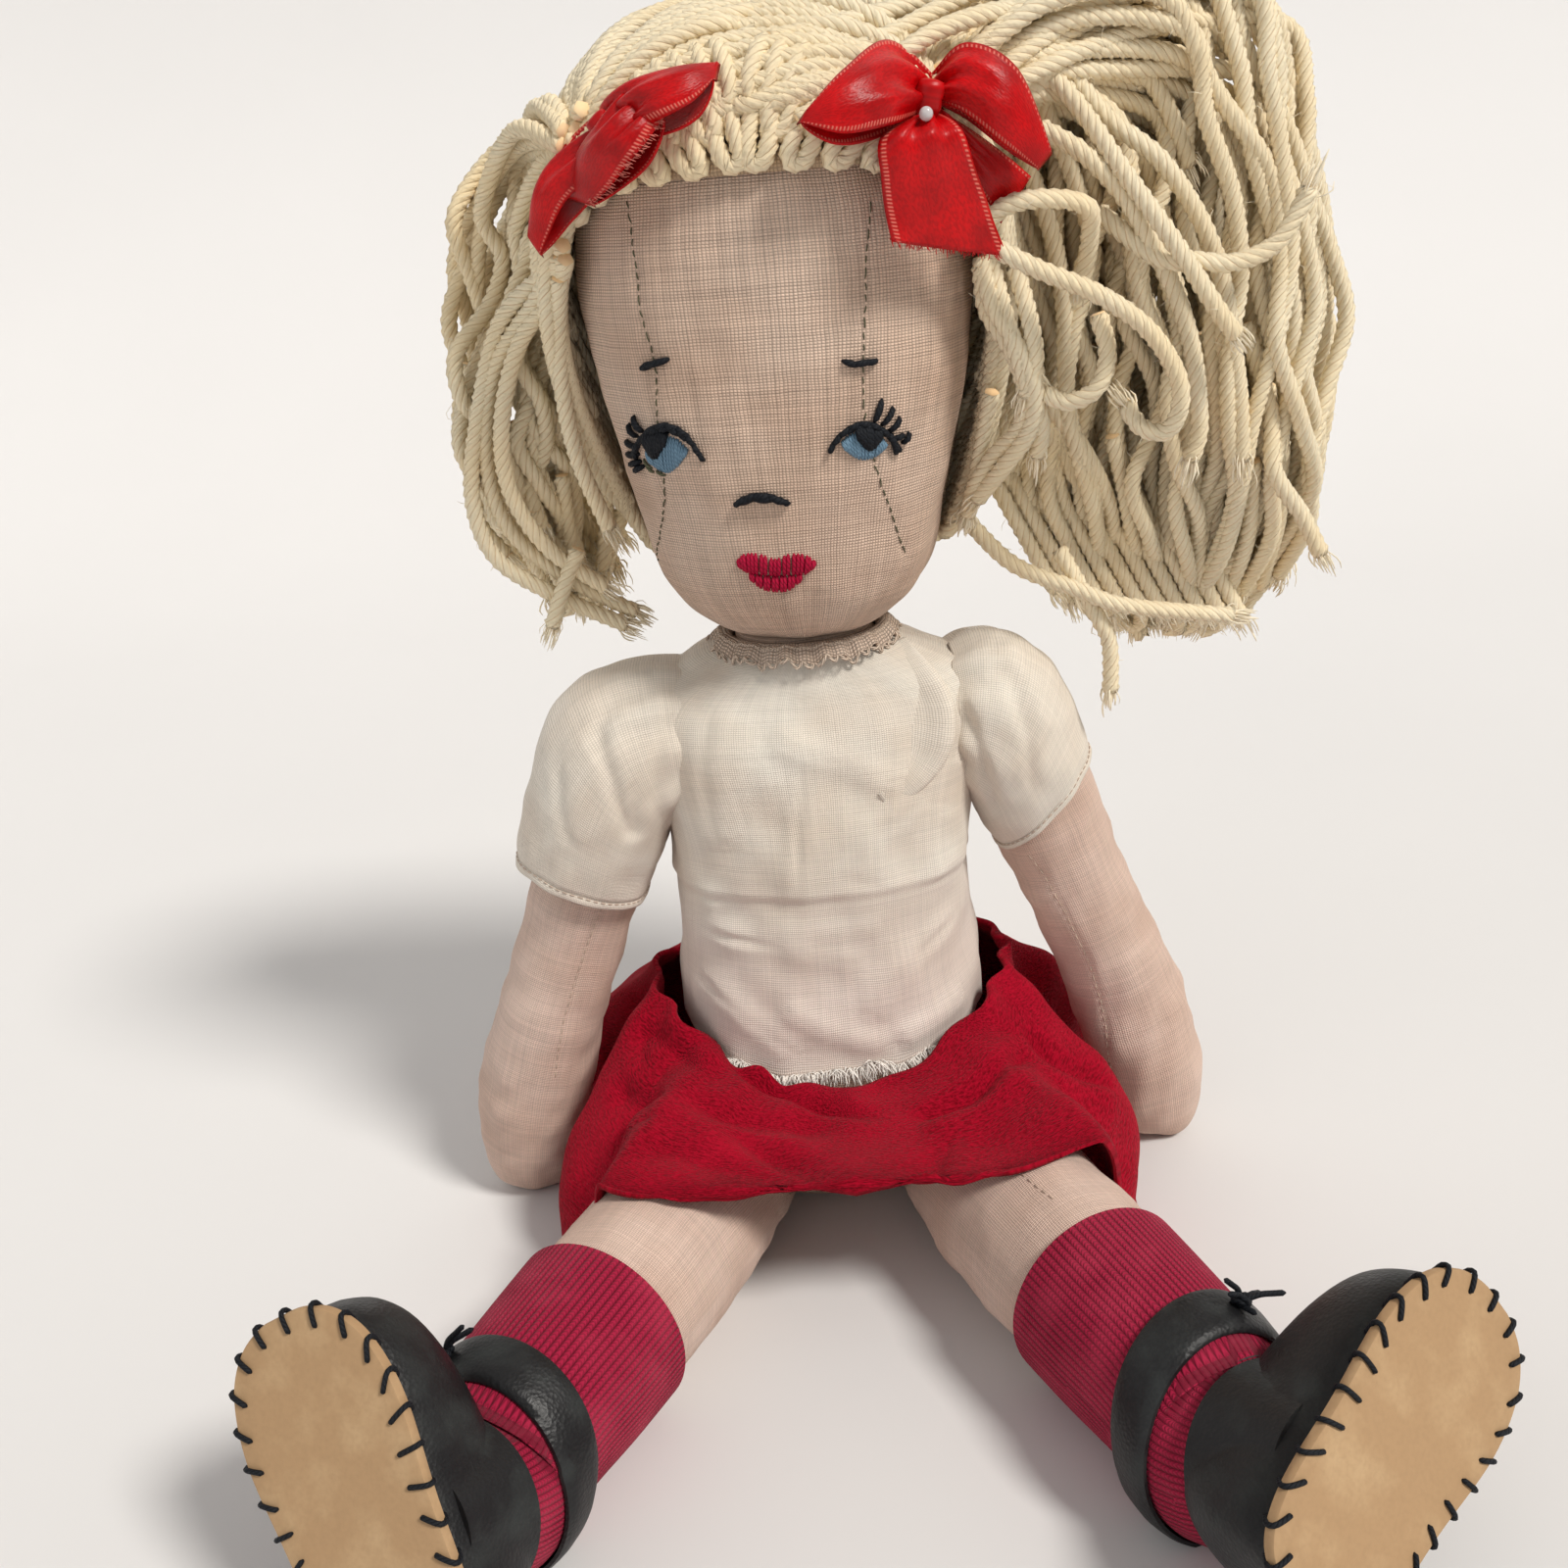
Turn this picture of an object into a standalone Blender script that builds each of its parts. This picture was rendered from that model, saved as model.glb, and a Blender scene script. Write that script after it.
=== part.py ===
"""Seated rag doll, one object for each piece. Metres, +Z up, and the doll faces -Y.

The doll's own left is +X. The origin lies on the floor, under the middle of its seat.
"""

import math

import bmesh
import bpy
from mathutils import Matrix, Vector
from mathutils.bvhtree import BVHTree

LEFT = 1
RIGHT = -1
SIDE_NAMES = {LEFT: "left", RIGHT: "right"}

# Clearances and cloth
GAP = 0.0003  # between pieces that touch
FLOOR_CUT = 0.0005  # how deep a stuffed form is pressed flat on the floor
SHIRT_CLOTH = 0.0009
SKIRT_CLOTH = 0.0012
SOCK_CLOTH = 0.0011
LEATHER = 0.0012
SOLE_LEATHER = 0.0020
RIBBON_CLOTH = 0.0005
THREAD = 0.0007  # how far embroidery stands off the face
STRAY_EDGE = 0.000003  # shorter edges are left by cuts and taken out

# Torso
TORSO_HEIGHT = 0.1240
TORSO_WIDTH = 0.0580
TORSO_DEPTH = 0.0420
TORSO_POWER = 2.3
SHOULDER_PRESS = 0.0022  # how much of the shoulder the sewn arm flattens
# height, half width and half depth, each as a share of the torso's own
TORSO_SHARES = (
    (0.000, 0.62, 0.62),
    (0.015, 0.80, 0.80),
    (0.060, 0.97, 0.97),
    (0.180, 1.05, 1.07),
    (0.360, 1.01, 1.05),
    (0.540, 0.95, 0.97),
    (0.700, 1.01, 0.95),
    (0.830, 1.19, 0.86),
    (0.895, 1.12, 0.74),
    (0.945, 0.76, 0.64),
    (0.975, 0.50, 0.60),
    (1.000, 0.45, 0.60),
)
SHOULDER_SHARE = 0.835  # height of the shoulder seam on the torso

# Head
HEAD_HEIGHT = 0.1040
HEAD_WIDTH = 0.0700
HEAD_DEPTH = 0.0600
HEAD_POWER = 2.25
HEAD_TURN = math.radians(-8)  # the doll looks a little to its right
HEAD_SHARES = (
    (0.000, 0.36, 0.40),
    (0.025, 0.50, 0.58),
    (0.080, 0.64, 0.76),
    (0.160, 0.75, 0.87),
    (0.280, 0.85, 0.95),
    (0.420, 0.94, 0.99),
    (0.560, 1.00, 1.00),
    (0.700, 1.00, 0.99),
    (0.820, 0.90, 0.91),
    (0.910, 0.72, 0.74),
    (0.970, 0.46, 0.48),
    (1.000, 0.16, 0.18),
)

# Arms
ARM_DROP = 0.1040  # from the shoulder axis down to the fingertips
ARM_SPREAD = 0.0360  # how far the hand stands out beyond the shoulder seam
ARM_THICKNESS = 0.0240
ARM_AXIS_TURN = math.radians(12)  # the sewn seam faces a little to the back
# drop, spread and thickness as shares of the arm's own
ARM_SHARES = (
    (-0.100, 0.060, 0.42),
    (-0.070, 0.120, 0.74),
    (0.010, 0.190, 0.92),
    (0.200, 0.360, 0.96),
    (0.420, 0.600, 0.90),
    (0.620, 0.820, 0.98),
    (0.780, 0.960, 1.00),
    (0.900, 1.030, 0.90),
    (0.970, 1.050, 0.66),
    (1.000, 1.055, 0.30),
)

# Legs
HIP_SPREAD = 0.0400  # between the two hip seams
HIP_HEIGHT = 0.0060
HIP_SEAM = 0.0016  # thickness of the cloth where the leg is sewn on
LEG_REACH = 0.0975  # from the hip seam to the ankle
LEG_THICKNESS = 0.0330
LEG_SPLAY = {LEFT: math.radians(21), RIGHT: math.radians(28)}
# reach, rise from the hip seam to the thigh's middle, thickness, width
LEG_SHARES = (
    (0.000, 0.00, 0.000, 0.60),
    (0.070, 0.26, 0.340, 0.72),
    (0.170, 0.70, 0.760, 0.88),
    (0.320, 0.98, 0.990, 1.00),
    (0.520, 1.00, 1.000, 1.00),
    (0.720, 1.00, 0.960, 0.95),
    (0.880, 1.00, 0.900, 0.88),
)

# Feet
FOOT_LENGTH = 0.0490
FOOT_WIDTH = 0.0212
FOOT_HEIGHT = 0.0240
FOOT_POWER = 2.5
FOOT_END_POWER = 4  # how suddenly the layers round the foot turn in at its ends
FOOT_TURN = {LEFT: math.radians(30), RIGHT: math.radians(22)}  # sole turned outward
FOOT_LEAN = math.radians(26)  # toes lean back towards the doll
FOOT_ROLL = {LEFT: math.radians(68), RIGHT: math.radians(32)}  # toes fall outward
ANKLE_ALONG = 0.0160  # from the heel's end to the ankle's middle
ANKLE_ABOVE = 0.0260  # from the sole to the ankle's middle
ANKLE_SHARE = 0.86  # of the leg's thickness
FOOT_INSIDE = 0.0070  # from the sole to the leg's end inside the foot
# length, width, height
FOOT_SHARES = (
    (0.000, 0.34, 0.34),
    (0.050, 0.68, 0.66),
    (0.180, 0.84, 0.94),
    (0.420, 0.88, 0.92),
    (0.680, 1.00, 0.74),
    (0.860, 0.88, 0.60),
    (0.960, 0.60, 0.46),
    (1.000, 0.26, 0.30),
)
SOCK_REACH = 0.0600  # from the hip seam to the sock's top edge
SOLE_MARGIN = 0.0012  # the sole stands out past the upper
HEEL_TOP = 0.0190  # the upper's top edge above the sole at the heel
THROAT_ALONG = 0.0330  # where the upper's top edge meets the vamp
THROAT_TOP = 0.0180
THROAT_RADIUS = 0.0085
THROAT_DEPTH = 0.0080  # how near to the sole the throat is cut down
STRAP_WIDTH = 0.0080
STRAP_ROWS = 4
STRAP_EASE = 0.0006  # room between the sock and the strap
STRAP_RISE = 0.0045  # of the strap's middle above the ankle's
TIE_KNOT = 0.0017
TIE_TAIL = 0.0085
TIE_THREAD = 0.0009
TIE_TURN = math.radians(25)  # how far out from straight up the tie sits on the strap
TIE_SPRING_SHARE = 0.60  # how far the tails stand off the strap

# Shirt, skirt and trim
SHIRT_HEM = 0.0420
SHIRT_EASE = 0.0022  # how loosely the bodice hangs at its hem
SHIRT_TOP_SHARE = 0.970
SLEEVE_LENGTH = 0.0400
SLEEVE_PUFF = 0.0060
SLEEVE_EASE = 0.0006
SLEEVE_FULL_SHARE = 0.35  # of the puff, where the sleeve is gathered
TRIM_HEIGHT = 0.0024
TRIM_WIDTH = 0.0042
SKIRT_WAIST_HEIGHT = 0.0530
SKIRT_WAIST_WIDTH = 0.0840
SKIRT_WAIST_DEPTH = 0.0570
SKIRT_WAIST_DIP = 0.0110
SKIRT_HEM_WIDTH = 0.1260
SKIRT_HEM_FRONT = 0.0590
SKIRT_HEM_BACK = 0.0420
SKIRT_FLOOR = 0.0012  # the lowest point of the hem
SKIRT_REST = 0.0006  # the hem's clearance over the thighs
SKIRT_LIFT_SHARES = (0.16, 0.66)  # where the hem starts to rise, and lies on the thighs
SKIRT_SQUARE_SHARE = 0.72  # how square the hem lies, less being squarer
SKIRT_BULGE = 0.0095
SKIRT_SQUEEZE = 0.0120  # how far the arms press in the hem at the sides
SKIRT_SIDE_SHARE = 0.30  # how far round from the side that reaches
SKIRT_FOLD = 0.0014
SKIRT_FOLD_COUNT = 9

# Hair
HAIR_THICKNESS = 0.0050
HAIRLINE_SHARE = 0.76
NAPE_SHARE = 0.10
FACE_OPENING = 0.0640
FACE_BACK = 0.0080  # how far in front of the neck the hair's edge runs
LEFT_BUNCH_LOW = -0.0160  # below the neck
LEFT_BUNCH_HEIGHT = 0.1380
LEFT_BUNCH_WIDTH = 0.0680
LEFT_BUNCH_DEPTH = 0.0420
RIGHT_BUNCH_HEIGHT = 0.0980
RIGHT_BUNCH_WIDTH = 0.0300
RIGHT_BUNCH_DEPTH = 0.0300
# low end above the neck, height, width and depth of each bunch
BUNCH_SIZES = {
    LEFT: (LEFT_BUNCH_LOW, LEFT_BUNCH_HEIGHT, LEFT_BUNCH_WIDTH, LEFT_BUNCH_DEPTH),
    RIGHT: (0, RIGHT_BUNCH_HEIGHT, RIGHT_BUNCH_WIDTH, RIGHT_BUNCH_DEPTH),
}
# height, middle's distance out and back in widths and depths, then width and depth
BUNCH_SHARES = {
    LEFT: (
        (0.000, 1.06, 0.72, 0.24, 0.24),
        (0.050, 1.06, 0.67, 0.59, 0.52),
        (0.145, 1.06, 0.57, 0.82, 0.71),
        (0.270, 1.04, 0.45, 0.94, 0.90),
        (0.435, 1.02, 0.38, 1.00, 1.00),
        (0.595, 0.98, 0.36, 1.00, 1.00),
        (0.740, 0.92, 0.33, 0.97, 0.95),
        (0.850, 0.85, 0.31, 0.91, 0.90),
        (0.930, 0.79, 0.29, 0.76, 0.76),
        (0.980, 0.77, 0.29, 0.50, 0.50),
        (1.000, 0.77, 0.29, 0.24, 0.24),
    ),
    RIGHT: (
        (0.000, 1.52, 0.43, 0.36, 0.36),
        (0.070, 1.60, 0.43, 0.72, 0.70),
        (0.220, 1.70, 0.40, 0.94, 0.94),
        (0.420, 1.72, 0.33, 1.00, 1.00),
        (0.620, 1.62, 0.33, 1.00, 1.00),
        (0.800, 1.48, 0.33, 0.92, 0.92),
        (0.930, 1.32, 0.33, 0.72, 0.70),
        (1.000, 1.18, 0.33, 0.36, 0.36),
    ),
}

# Bows
RIBBON_WIDTH = 0.0150
BOW_LOOP = 0.0195  # from the knot's middle to a loop's tip
BOW_OPENING = 0.0050
BOW_TAIL = 0.0215
BOW_KNOT = 0.0032
BOW_PINCH_SHARE = 0.42  # the ribbon's width at the knot
BOW_TAIL_SHARE = 0.90  # the ribbon's width at a tail's end
BOW_TAIL_LEAN_SHARE = 0.45  # how far the tails spread
BOW_CURL_SHARE = 0.10  # how far the loops bend forward
BOW_START_SHARE = 0.03  # of the loop, inside the knot
BOW_STEPS = 9
TAIL_STEPS = 3
BEAD_RADIUS = 0.0020
# where each bow sits: across in head widths, height in head heights, then the ways it faces and spreads
BOW_PLACES = {
    LEFT: (0.34, 0.800, Vector((0.22, -0.93, 0.30)), Vector((1.0, 0.20, 0.06))),
    RIGHT: (-0.06, 0.626, Vector((-0.45, -0.65, 0.61)), Vector((-0.74, -0.16, -0.66))),
}

# Face, with heights above the chin and distances from the middle line
EYE_HEIGHT = 0.0385
EYE_ACROSS = 0.0172
EYE_WIDTH = 0.0088
EYE_OPENING = 0.0072
PUPIL_WIDTH = 0.0038
PUPIL_OPENING = 0.0048
LID_RISE = 0.0046
LID_WIDTH = 0.0128
LID_THREAD = 0.0011
BROW_HEIGHT = 0.0530
BROW_WIDTH = 0.0064
BROW_RISE = 0.0006
NOSE_HEIGHT = 0.0285
NOSE_WIDTH = 0.0096
NOSE_RISE = 0.0022
NOSE_THREAD = 0.0013
MOUTH_HEIGHT = 0.0155
MOUTH_WIDTH = 0.0138
UPPER_LIP_HEIGHT = 0.0024
LOWER_LIP_HEIGHT = 0.0036
LOWER_LIP_WIDTH = 0.0100
LIP_GAP = 0.0006
LIP_CORNER_SHARE = 0.7  # how much the upper lip thins towards its corners
LIP_CORNER_POWER = 4
LIP_DIP_SHARE = 0.2
LIP_DIP_POWER = 3
OVAL_END_SHARE = 0.15
ARCH_TAPER_SHARE = 0.6

# Mesh detail
ROUND_POWER = 2  # of a section that is an ellipse
HAIRLINE_POWER = 4  # of the opening that leaves the face free
FINE_STEPS = 4  # from each row of the torso to the next, where places are read
ARM_STEPS = 2
SOLE_STEPS = 3
SHIRT_SKIP_COUNT = 2  # the shirt takes every second one of the fine rows of the torso
STITCH_LENGTH = 0.0016  # a pad of stitches is divided about so finely
LEAST_STITCH_COUNT = 4
BALL_STEPS = 2
TORSO_SIDES = 24
HEAD_SIDES = 28
LIMB_SIDES = 14
HAIR_SIDES = 18
SKIRT_SIDES = 40
SKIRT_ROWS = 8
SMOOTH_ANGLE = math.radians(40)
CUTTER_REACH = 2 * TORSO_HEIGHT

# Colours
COLOURS = {
    "muslin": ((0.72, 0.52, 0.42, 1), 0.85),
    "shirt_cotton": ((0.80, 0.70, 0.58, 1), 0.80),
    "crimson_crepe": ((0.38, 0.006, 0.022, 1), 0.85),
    "crimson_knit": ((0.42, 0.02, 0.05, 1), 0.85),
    "black_leather": ((0.012, 0.012, 0.013, 1), 0.45),
    "tan_leather": ((0.50, 0.31, 0.16, 1), 0.65),
    "black_thread": ((0.010, 0.010, 0.012, 1), 0.7),
    "blue_thread": ((0.13, 0.30, 0.52, 1), 0.6),
    "crimson_thread": ((0.48, 0.02, 0.06, 1), 0.6),
    "lace_cotton": ((0.58, 0.47, 0.38, 1), 0.85),
    "hair_yarn": ((0.84, 0.73, 0.49, 1), 0.8),
    "red_satin": ((0.65, 0.012, 0.012, 1), 0.3),
    "pearl": ((0.85, 0.80, 0.76, 1), 0.2),
}
MATERIALS = {}


def smooth_rows(rows, steps):
    """The rows of numbers joined by a smooth curve, with some steps from each to the next."""
    last = len(rows) - 1
    result = []
    for i in range(last):
        around = [rows[max(i - 1, 0)], rows[i], rows[i + 1], rows[min(i + 2, last)]]
        for step in range(steps):
            t = step / steps
            weights = (
                -t * (1 - t) ** 2 / 2,
                (2 - 5 * t**2 + 3 * t**3) / 2,
                t * (1 + 4 * t - 3 * t**2) / 2,
                -(t**2) * (1 - t) / 2,
            )
            columns = zip(*around)
            result.append(tuple(sum(w * v for w, v in zip(weights, column)) for column in columns))
    result.append(tuple(rows[-1]))
    return result


def row_at(rows, share):
    """The row at a share of the first column, on straight lines between the rows."""
    for lower, upper in zip(rows, rows[1:]):
        if share <= upper[0]:
            part = (share - lower[0]) / (upper[0] - lower[0])
            return tuple(a + (b - a) * part for a, b in zip(lower, upper))
    return rows[-1]


def super_ring(centre, across, up, half_width, half_height, sides, power):
    """Points round a rounded section, from across towards up."""
    points = []
    for i in range(sides):
        turn = 2 * math.pi * i / sides
        cosine = math.cos(turn)
        sine = math.sin(turn)
        x = half_width * math.copysign(abs(cosine) ** (2 / power), cosine)
        y = half_height * math.copysign(abs(sine) ** (2 / power), sine)
        points.append(centre + across * x + up * y)
    return points


def face_out(bm):
    """All faces turned to the outer side, also on a sheet that goes round."""
    bmesh.ops.recalc_face_normals(bm, faces=bm.faces)
    middle = sum((vertex.co for vertex in bm.verts), Vector()) / len(bm.verts)
    bmesh.ops.translate(bm, verts=bm.verts, vec=-middle)
    if bm.calc_volume(signed=True) < 0:
        bmesh.ops.reverse_faces(bm, faces=bm.faces)
    bmesh.ops.translate(bm, verts=bm.verts, vec=middle)


def new_object(name, bm):
    """An object from a bmesh, which is used up."""
    face_out(bm)
    mesh = bpy.data.meshes.new(name)
    bm.to_mesh(mesh)
    bm.free()
    item = bpy.data.objects.new(name, mesh)
    bpy.context.scene.collection.objects.link(item)
    return item


def add_walls(bm, loops, around=True):
    """Faces between each loop of points and the next."""
    for lower, upper in zip(loops, loops[1:]):
        count = len(lower)
        for i in range(count if around else count - 1):
            j = (i + 1) % count
            bm.faces.new((lower[i], lower[j], upper[j], upper[i]))


def solid(name, rings):
    """A closed form through rings of points."""
    bm = bmesh.new()
    loops = [[bm.verts.new(point) for point in ring] for ring in rings]
    add_walls(bm, loops)
    bm.faces.new(loops[0][::-1])
    bm.faces.new(loops[-1])
    return new_object(name, bm)


def closed_ring(name, rings):
    """A closed form through rings of points whose last joins the first."""
    bm = bmesh.new()
    loops = [[bm.verts.new(point) for point in ring] for ring in rings]
    add_walls(bm, loops + loops[:1])
    return new_object(name, bm)


def cloth(name, rows, thickness, around=True):
    """A sheet through rows of points, given its thickness on its outer side."""
    bm = bmesh.new()
    add_walls(bm, [[bm.verts.new(point) for point in row] for row in rows], around)
    item = new_object(name, bm)
    modifier = item.modifiers.new("Cloth thickness", "SOLIDIFY")
    modifier.thickness = thickness
    modifier.offset = 1
    return settle(item)


def settle(item):
    """The item with its modifiers made part of its mesh."""
    bpy.context.view_layer.update()
    shown = item.evaluated_get(bpy.context.evaluated_depsgraph_get())
    mesh = bpy.data.meshes.new_from_object(shown)
    item.modifiers.clear()
    item.data = mesh
    return item


def tidy(item):
    """The item without the stray points and edges that a cut leaves."""
    bm = bmesh.new()
    bm.from_mesh(item.data)
    bmesh.ops.remove_doubles(bm, verts=bm.verts, dist=STRAY_EDGE)
    bmesh.ops.dissolve_degenerate(bm, edges=bm.edges, dist=STRAY_EDGE)
    bm.to_mesh(item.data)
    bm.free()
    return item


def combine(item, tool, operation):
    """The item cut by, joined to or crossed with the tool, which is used up."""
    modifier = item.modifiers.new("Shape", "BOOLEAN")
    modifier.operation = operation
    modifier.object = tool
    settle(item)
    bpy.data.objects.remove(tool)
    return tidy(item)


def half_space(point, normal):
    """A large block whose face passes through the point, on the side that the normal shows."""
    bm = bmesh.new()
    bmesh.ops.create_cube(bm, size=2 * CUTTER_REACH)
    turn = normal.to_track_quat("Z", "Y").to_matrix().to_4x4()
    place = Matrix.Translation(point + normal.normalized() * CUTTER_REACH)
    bm.transform(place @ turn)
    return new_object("cutter", bm)


def cut_flat(item, point, normal):
    """The item without what lies past the point on the normal's side."""
    return combine(item, half_space(point, normal), "DIFFERENCE")


def rest_on_floor(item):
    """The item pressed flat where it meets the floor."""
    return cut_flat(item, Vector(), Vector((0, 0, -1)))


def upright_rings(rows, base, size, grow, sides, power):
    """Level rings of a form that stands on base, from rows of height, width and depth shares."""
    width, depth, height = size
    rings = []
    for share, wide, deep in rows:
        centre = base + Vector((0, 0, height * share + grow * (2 * share - 1)))
        half_width = width / 2 * wide + grow
        half_depth = depth / 2 * deep + grow
        across = Vector((1, 0, 0))
        back = Vector((0, 1, 0))
        rings.append(super_ring(centre, across, back, half_width, half_depth, sides, power))
    return rings


def path_rings(path, sides, power, hint):
    """Rings along a path of points, each with its half width and half height."""
    rings = []
    for i, (point, half_width, half_height) in enumerate(path):
        ahead = path[min(i + 1, len(path) - 1)][0] - path[max(i - 1, 0)][0]
        across = hint.cross(ahead).normalized()
        up = ahead.cross(across).normalized()
        rings.append(super_ring(point, across, up, half_width, half_height, sides, power))
    return rings


def surface_hit(items, start, direction):
    """Where a ray from start first meets one of the items, and the surface's direction there."""
    best = None
    for item in items:
        tree = BVHTree.FromObject(item, bpy.context.evaluated_depsgraph_get())
        place, normal, _, distance = tree.ray_cast(start, direction)
        if place is not None and (best is None or distance < best[2]):
            best = (place, normal, distance)
    return best[0], best[1]


# Torso and head

TORSO_FINE_ROWS = smooth_rows(TORSO_SHARES, FINE_STEPS)
TORSO_BASE = Vector((0, 0, -FLOOR_CUT))
TORSO_SIZE = (TORSO_WIDTH, TORSO_DEPTH, TORSO_HEIGHT + FLOOR_CUT)
HEAD_BASE = Vector((0, 0, TORSO_HEIGHT + GAP))
HEAD_SIZE = (HEAD_WIDTH, HEAD_DEPTH, HEAD_HEIGHT)
SHOULDER_HEIGHT = TORSO_HEIGHT * SHOULDER_SHARE
SHOULDER_ACROSS = TORSO_WIDTH / 2 * row_at(TORSO_FINE_ROWS, SHOULDER_SHARE)[1] - SHOULDER_PRESS


def torso_form(name, grow):
    rings = upright_rings(TORSO_SHARES, TORSO_BASE, TORSO_SIZE, grow, TORSO_SIDES, TORSO_POWER)
    return solid(name, rings)


def head_form(name, grow):
    rings = upright_rings(HEAD_SHARES, HEAD_BASE, HEAD_SIZE, grow, HEAD_SIDES, HEAD_POWER)
    return solid(name, rings)


def shoulder_axis(side):
    """The shoulder's turning axis, out of the doll's side."""
    return Vector((side * math.cos(ARM_AXIS_TURN), math.sin(ARM_AXIS_TURN), 0))


def shoulder_point(side):
    return Vector((side * SHOULDER_ACROSS, 0, SHOULDER_HEIGHT))


def make_torso():
    torso = rest_on_floor(torso_form("torso", 0))
    for side in (LEFT, RIGHT):
        cut_flat(torso, shoulder_point(side), shoulder_axis(side))
    return finish(torso, "muslin")


def make_head():
    return finish(head_form("head", 0), "muslin")


# Arms and sleeves


def arm_path(side, grow, puff=0):
    """The arm's middle line, with its half width and half depth at each point."""
    path = []
    low, high = ARM_SHARES[0][0], SLEEVE_LENGTH / ARM_DROP
    for drop, spread, thick in smooth_rows(ARM_SHARES, ARM_STEPS):
        centre = Vector((side * (SHOULDER_ACROSS + ARM_SPREAD * spread), 0, SHOULDER_HEIGHT))
        centre.z += grow * (1 - 2 * (drop - low) / (1 - low)) - ARM_DROP * drop
        share = min((drop - low) / (high - low), 1)
        fullness = puff * (SLEEVE_FULL_SHARE + (1 - SLEEVE_FULL_SHARE) * math.sin(math.pi * share))
        half = ARM_THICKNESS / 2 * thick + grow + fullness
        path.append((centre, half, half))
    return path


def arm_form(name, side, grow, puff=0):
    back = Vector((0, 1, 0))
    return solid(name, path_rings(arm_path(side, grow, puff), LIMB_SIDES, ROUND_POWER, back))


def cut_at_shoulder(item, side):
    """The item without what lies on the torso's side of the shoulder seam."""
    return cut_flat(item, shoulder_point(side) + shoulder_axis(side) * GAP, -shoulder_axis(side))


def make_arm(side):
    arm = arm_form(SIDE_NAMES[side] + "_arm", side, 0)
    cut_at_shoulder(arm, side)
    return finish(rest_on_floor(arm), "muslin")


def make_sleeve(side):
    """A puffed sleeve, sewn to the bodice at the shoulder and open at its hem."""
    sleeve = arm_form(SIDE_NAMES[side] + "_sleeve", LEFT, SLEEVE_EASE + SHIRT_CLOTH, SLEEVE_PUFF)
    combine(sleeve, torso_form("cutter", SHIRT_EASE + SHIRT_CLOTH + GAP), "DIFFERENCE")
    combine(sleeve, arm_form("cutter", LEFT, SLEEVE_EASE, SLEEVE_PUFF), "DIFFERENCE")
    down = Vector((ARM_SPREAD, 0, -ARM_DROP)).normalized()
    cut_flat(sleeve, shoulder_point(LEFT) + down * SLEEVE_LENGTH, down)
    if side == RIGHT:
        sleeve.data.transform(Matrix.Scale(-1, 4, Vector((1, 0, 0))))
        sleeve.data.flip_normals()
    return finish(sleeve, "shirt_cotton")


# Legs, socks and shoes


def torso_front(across, height):
    """How far forward the torso's surface lies."""
    _, wide, deep = row_at(TORSO_FINE_ROWS, (height + FLOOR_CUT) / TORSO_SIZE[2])
    share = min(abs(across) / (TORSO_WIDTH / 2 * wide), 1)
    return TORSO_DEPTH / 2 * deep * (1 - share**TORSO_POWER) ** (1 / TORSO_POWER)


def hip_point(side):
    """The middle of the hip seam, just in front of the torso."""
    across = HIP_SPREAD / 2
    forward = torso_front(across, HIP_HEIGHT) + HIP_SEAM
    return Vector((side * across, -forward, HIP_HEIGHT))


def leg_direction(side):
    return Vector((side * math.sin(LEG_SPLAY[side]), -math.cos(LEG_SPLAY[side]), 0))


def hip_axis(side):
    """The hip's turning axis. A positive turn lifts the leg."""
    return leg_direction(side).cross(Vector((0, 0, 1)))


def foot_axes(side):
    """The foot's toe, outward and sole directions."""
    out = Vector((side, 0, 0))
    turn = Matrix.Rotation(side * FOOT_TURN[side], 3, "Z")
    sole_level = turn @ Vector((0, -1, 0))
    outward = turn @ out
    toe = Vector((0, 0, 1)) * math.cos(FOOT_LEAN) - sole_level * math.sin(FOOT_LEAN)
    sole = sole_level * math.cos(FOOT_LEAN) + Vector((0, 0, 1)) * math.sin(FOOT_LEAN)
    roll = FOOT_ROLL[side]
    rolled_toe = toe * math.cos(roll) + outward * math.sin(roll)
    rolled_out = outward * math.cos(roll) - toe * math.sin(roll)
    return rolled_toe, rolled_out, sole


def sole_outline(side):
    """The sole's outline as places along the toe and outward directions."""
    grow = UPPER_OUTER + SOLE_MARGIN
    rows = [(share, wide) for share, wide, _ in smooth_rows(FOOT_SHARES, SOLE_STEPS)]
    outline = []
    for way, order in ((1, rows), (-1, rows[::-1])):
        for share, wide in order:
            further, thicker = foot_layer(share, grow)
            outline.append((FOOT_LENGTH * share + further, way * (FOOT_WIDTH / 2 * wide + thicker)))
    return outline


def foot_origin(side):
    """The heel end of the foot's sole line, with the ankle or the shoe lying on the floor."""
    toe, outward, sole = foot_axes(side)
    ankle = hip_point(side) + leg_direction(side) * LEG_REACH
    ankle.z = LEG_THICKNESS / 2 * ANKLE_SHARE - FLOOR_CUT
    origin = ankle - toe * ANKLE_ALONG + sole * ANKLE_ABOVE
    lowest = 0
    for along, across in sole_outline(side):
        for depth in (SOLE_INNER, SOLE_INNER + SOLE_LEATHER):
            place = origin + toe * along + outward * across + sole * depth
            lowest = min(lowest, place.z)
    return origin - Vector((0, 0, lowest))


def ankle_point(side):
    toe, _, sole = foot_axes(side)
    return foot_origin(side) + toe * ANKLE_ALONG - sole * ANKLE_ABOVE


def strap_middle(side):
    return ankle_point(side) + ankle_direction(side) * STRAP_RISE


def ankle_direction(side):
    """The direction from the foot up the ankle, halfway between the foot's and the leg's."""
    _, _, sole = foot_axes(side)
    return -(sole + leg_direction(side)).normalized()


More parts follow.
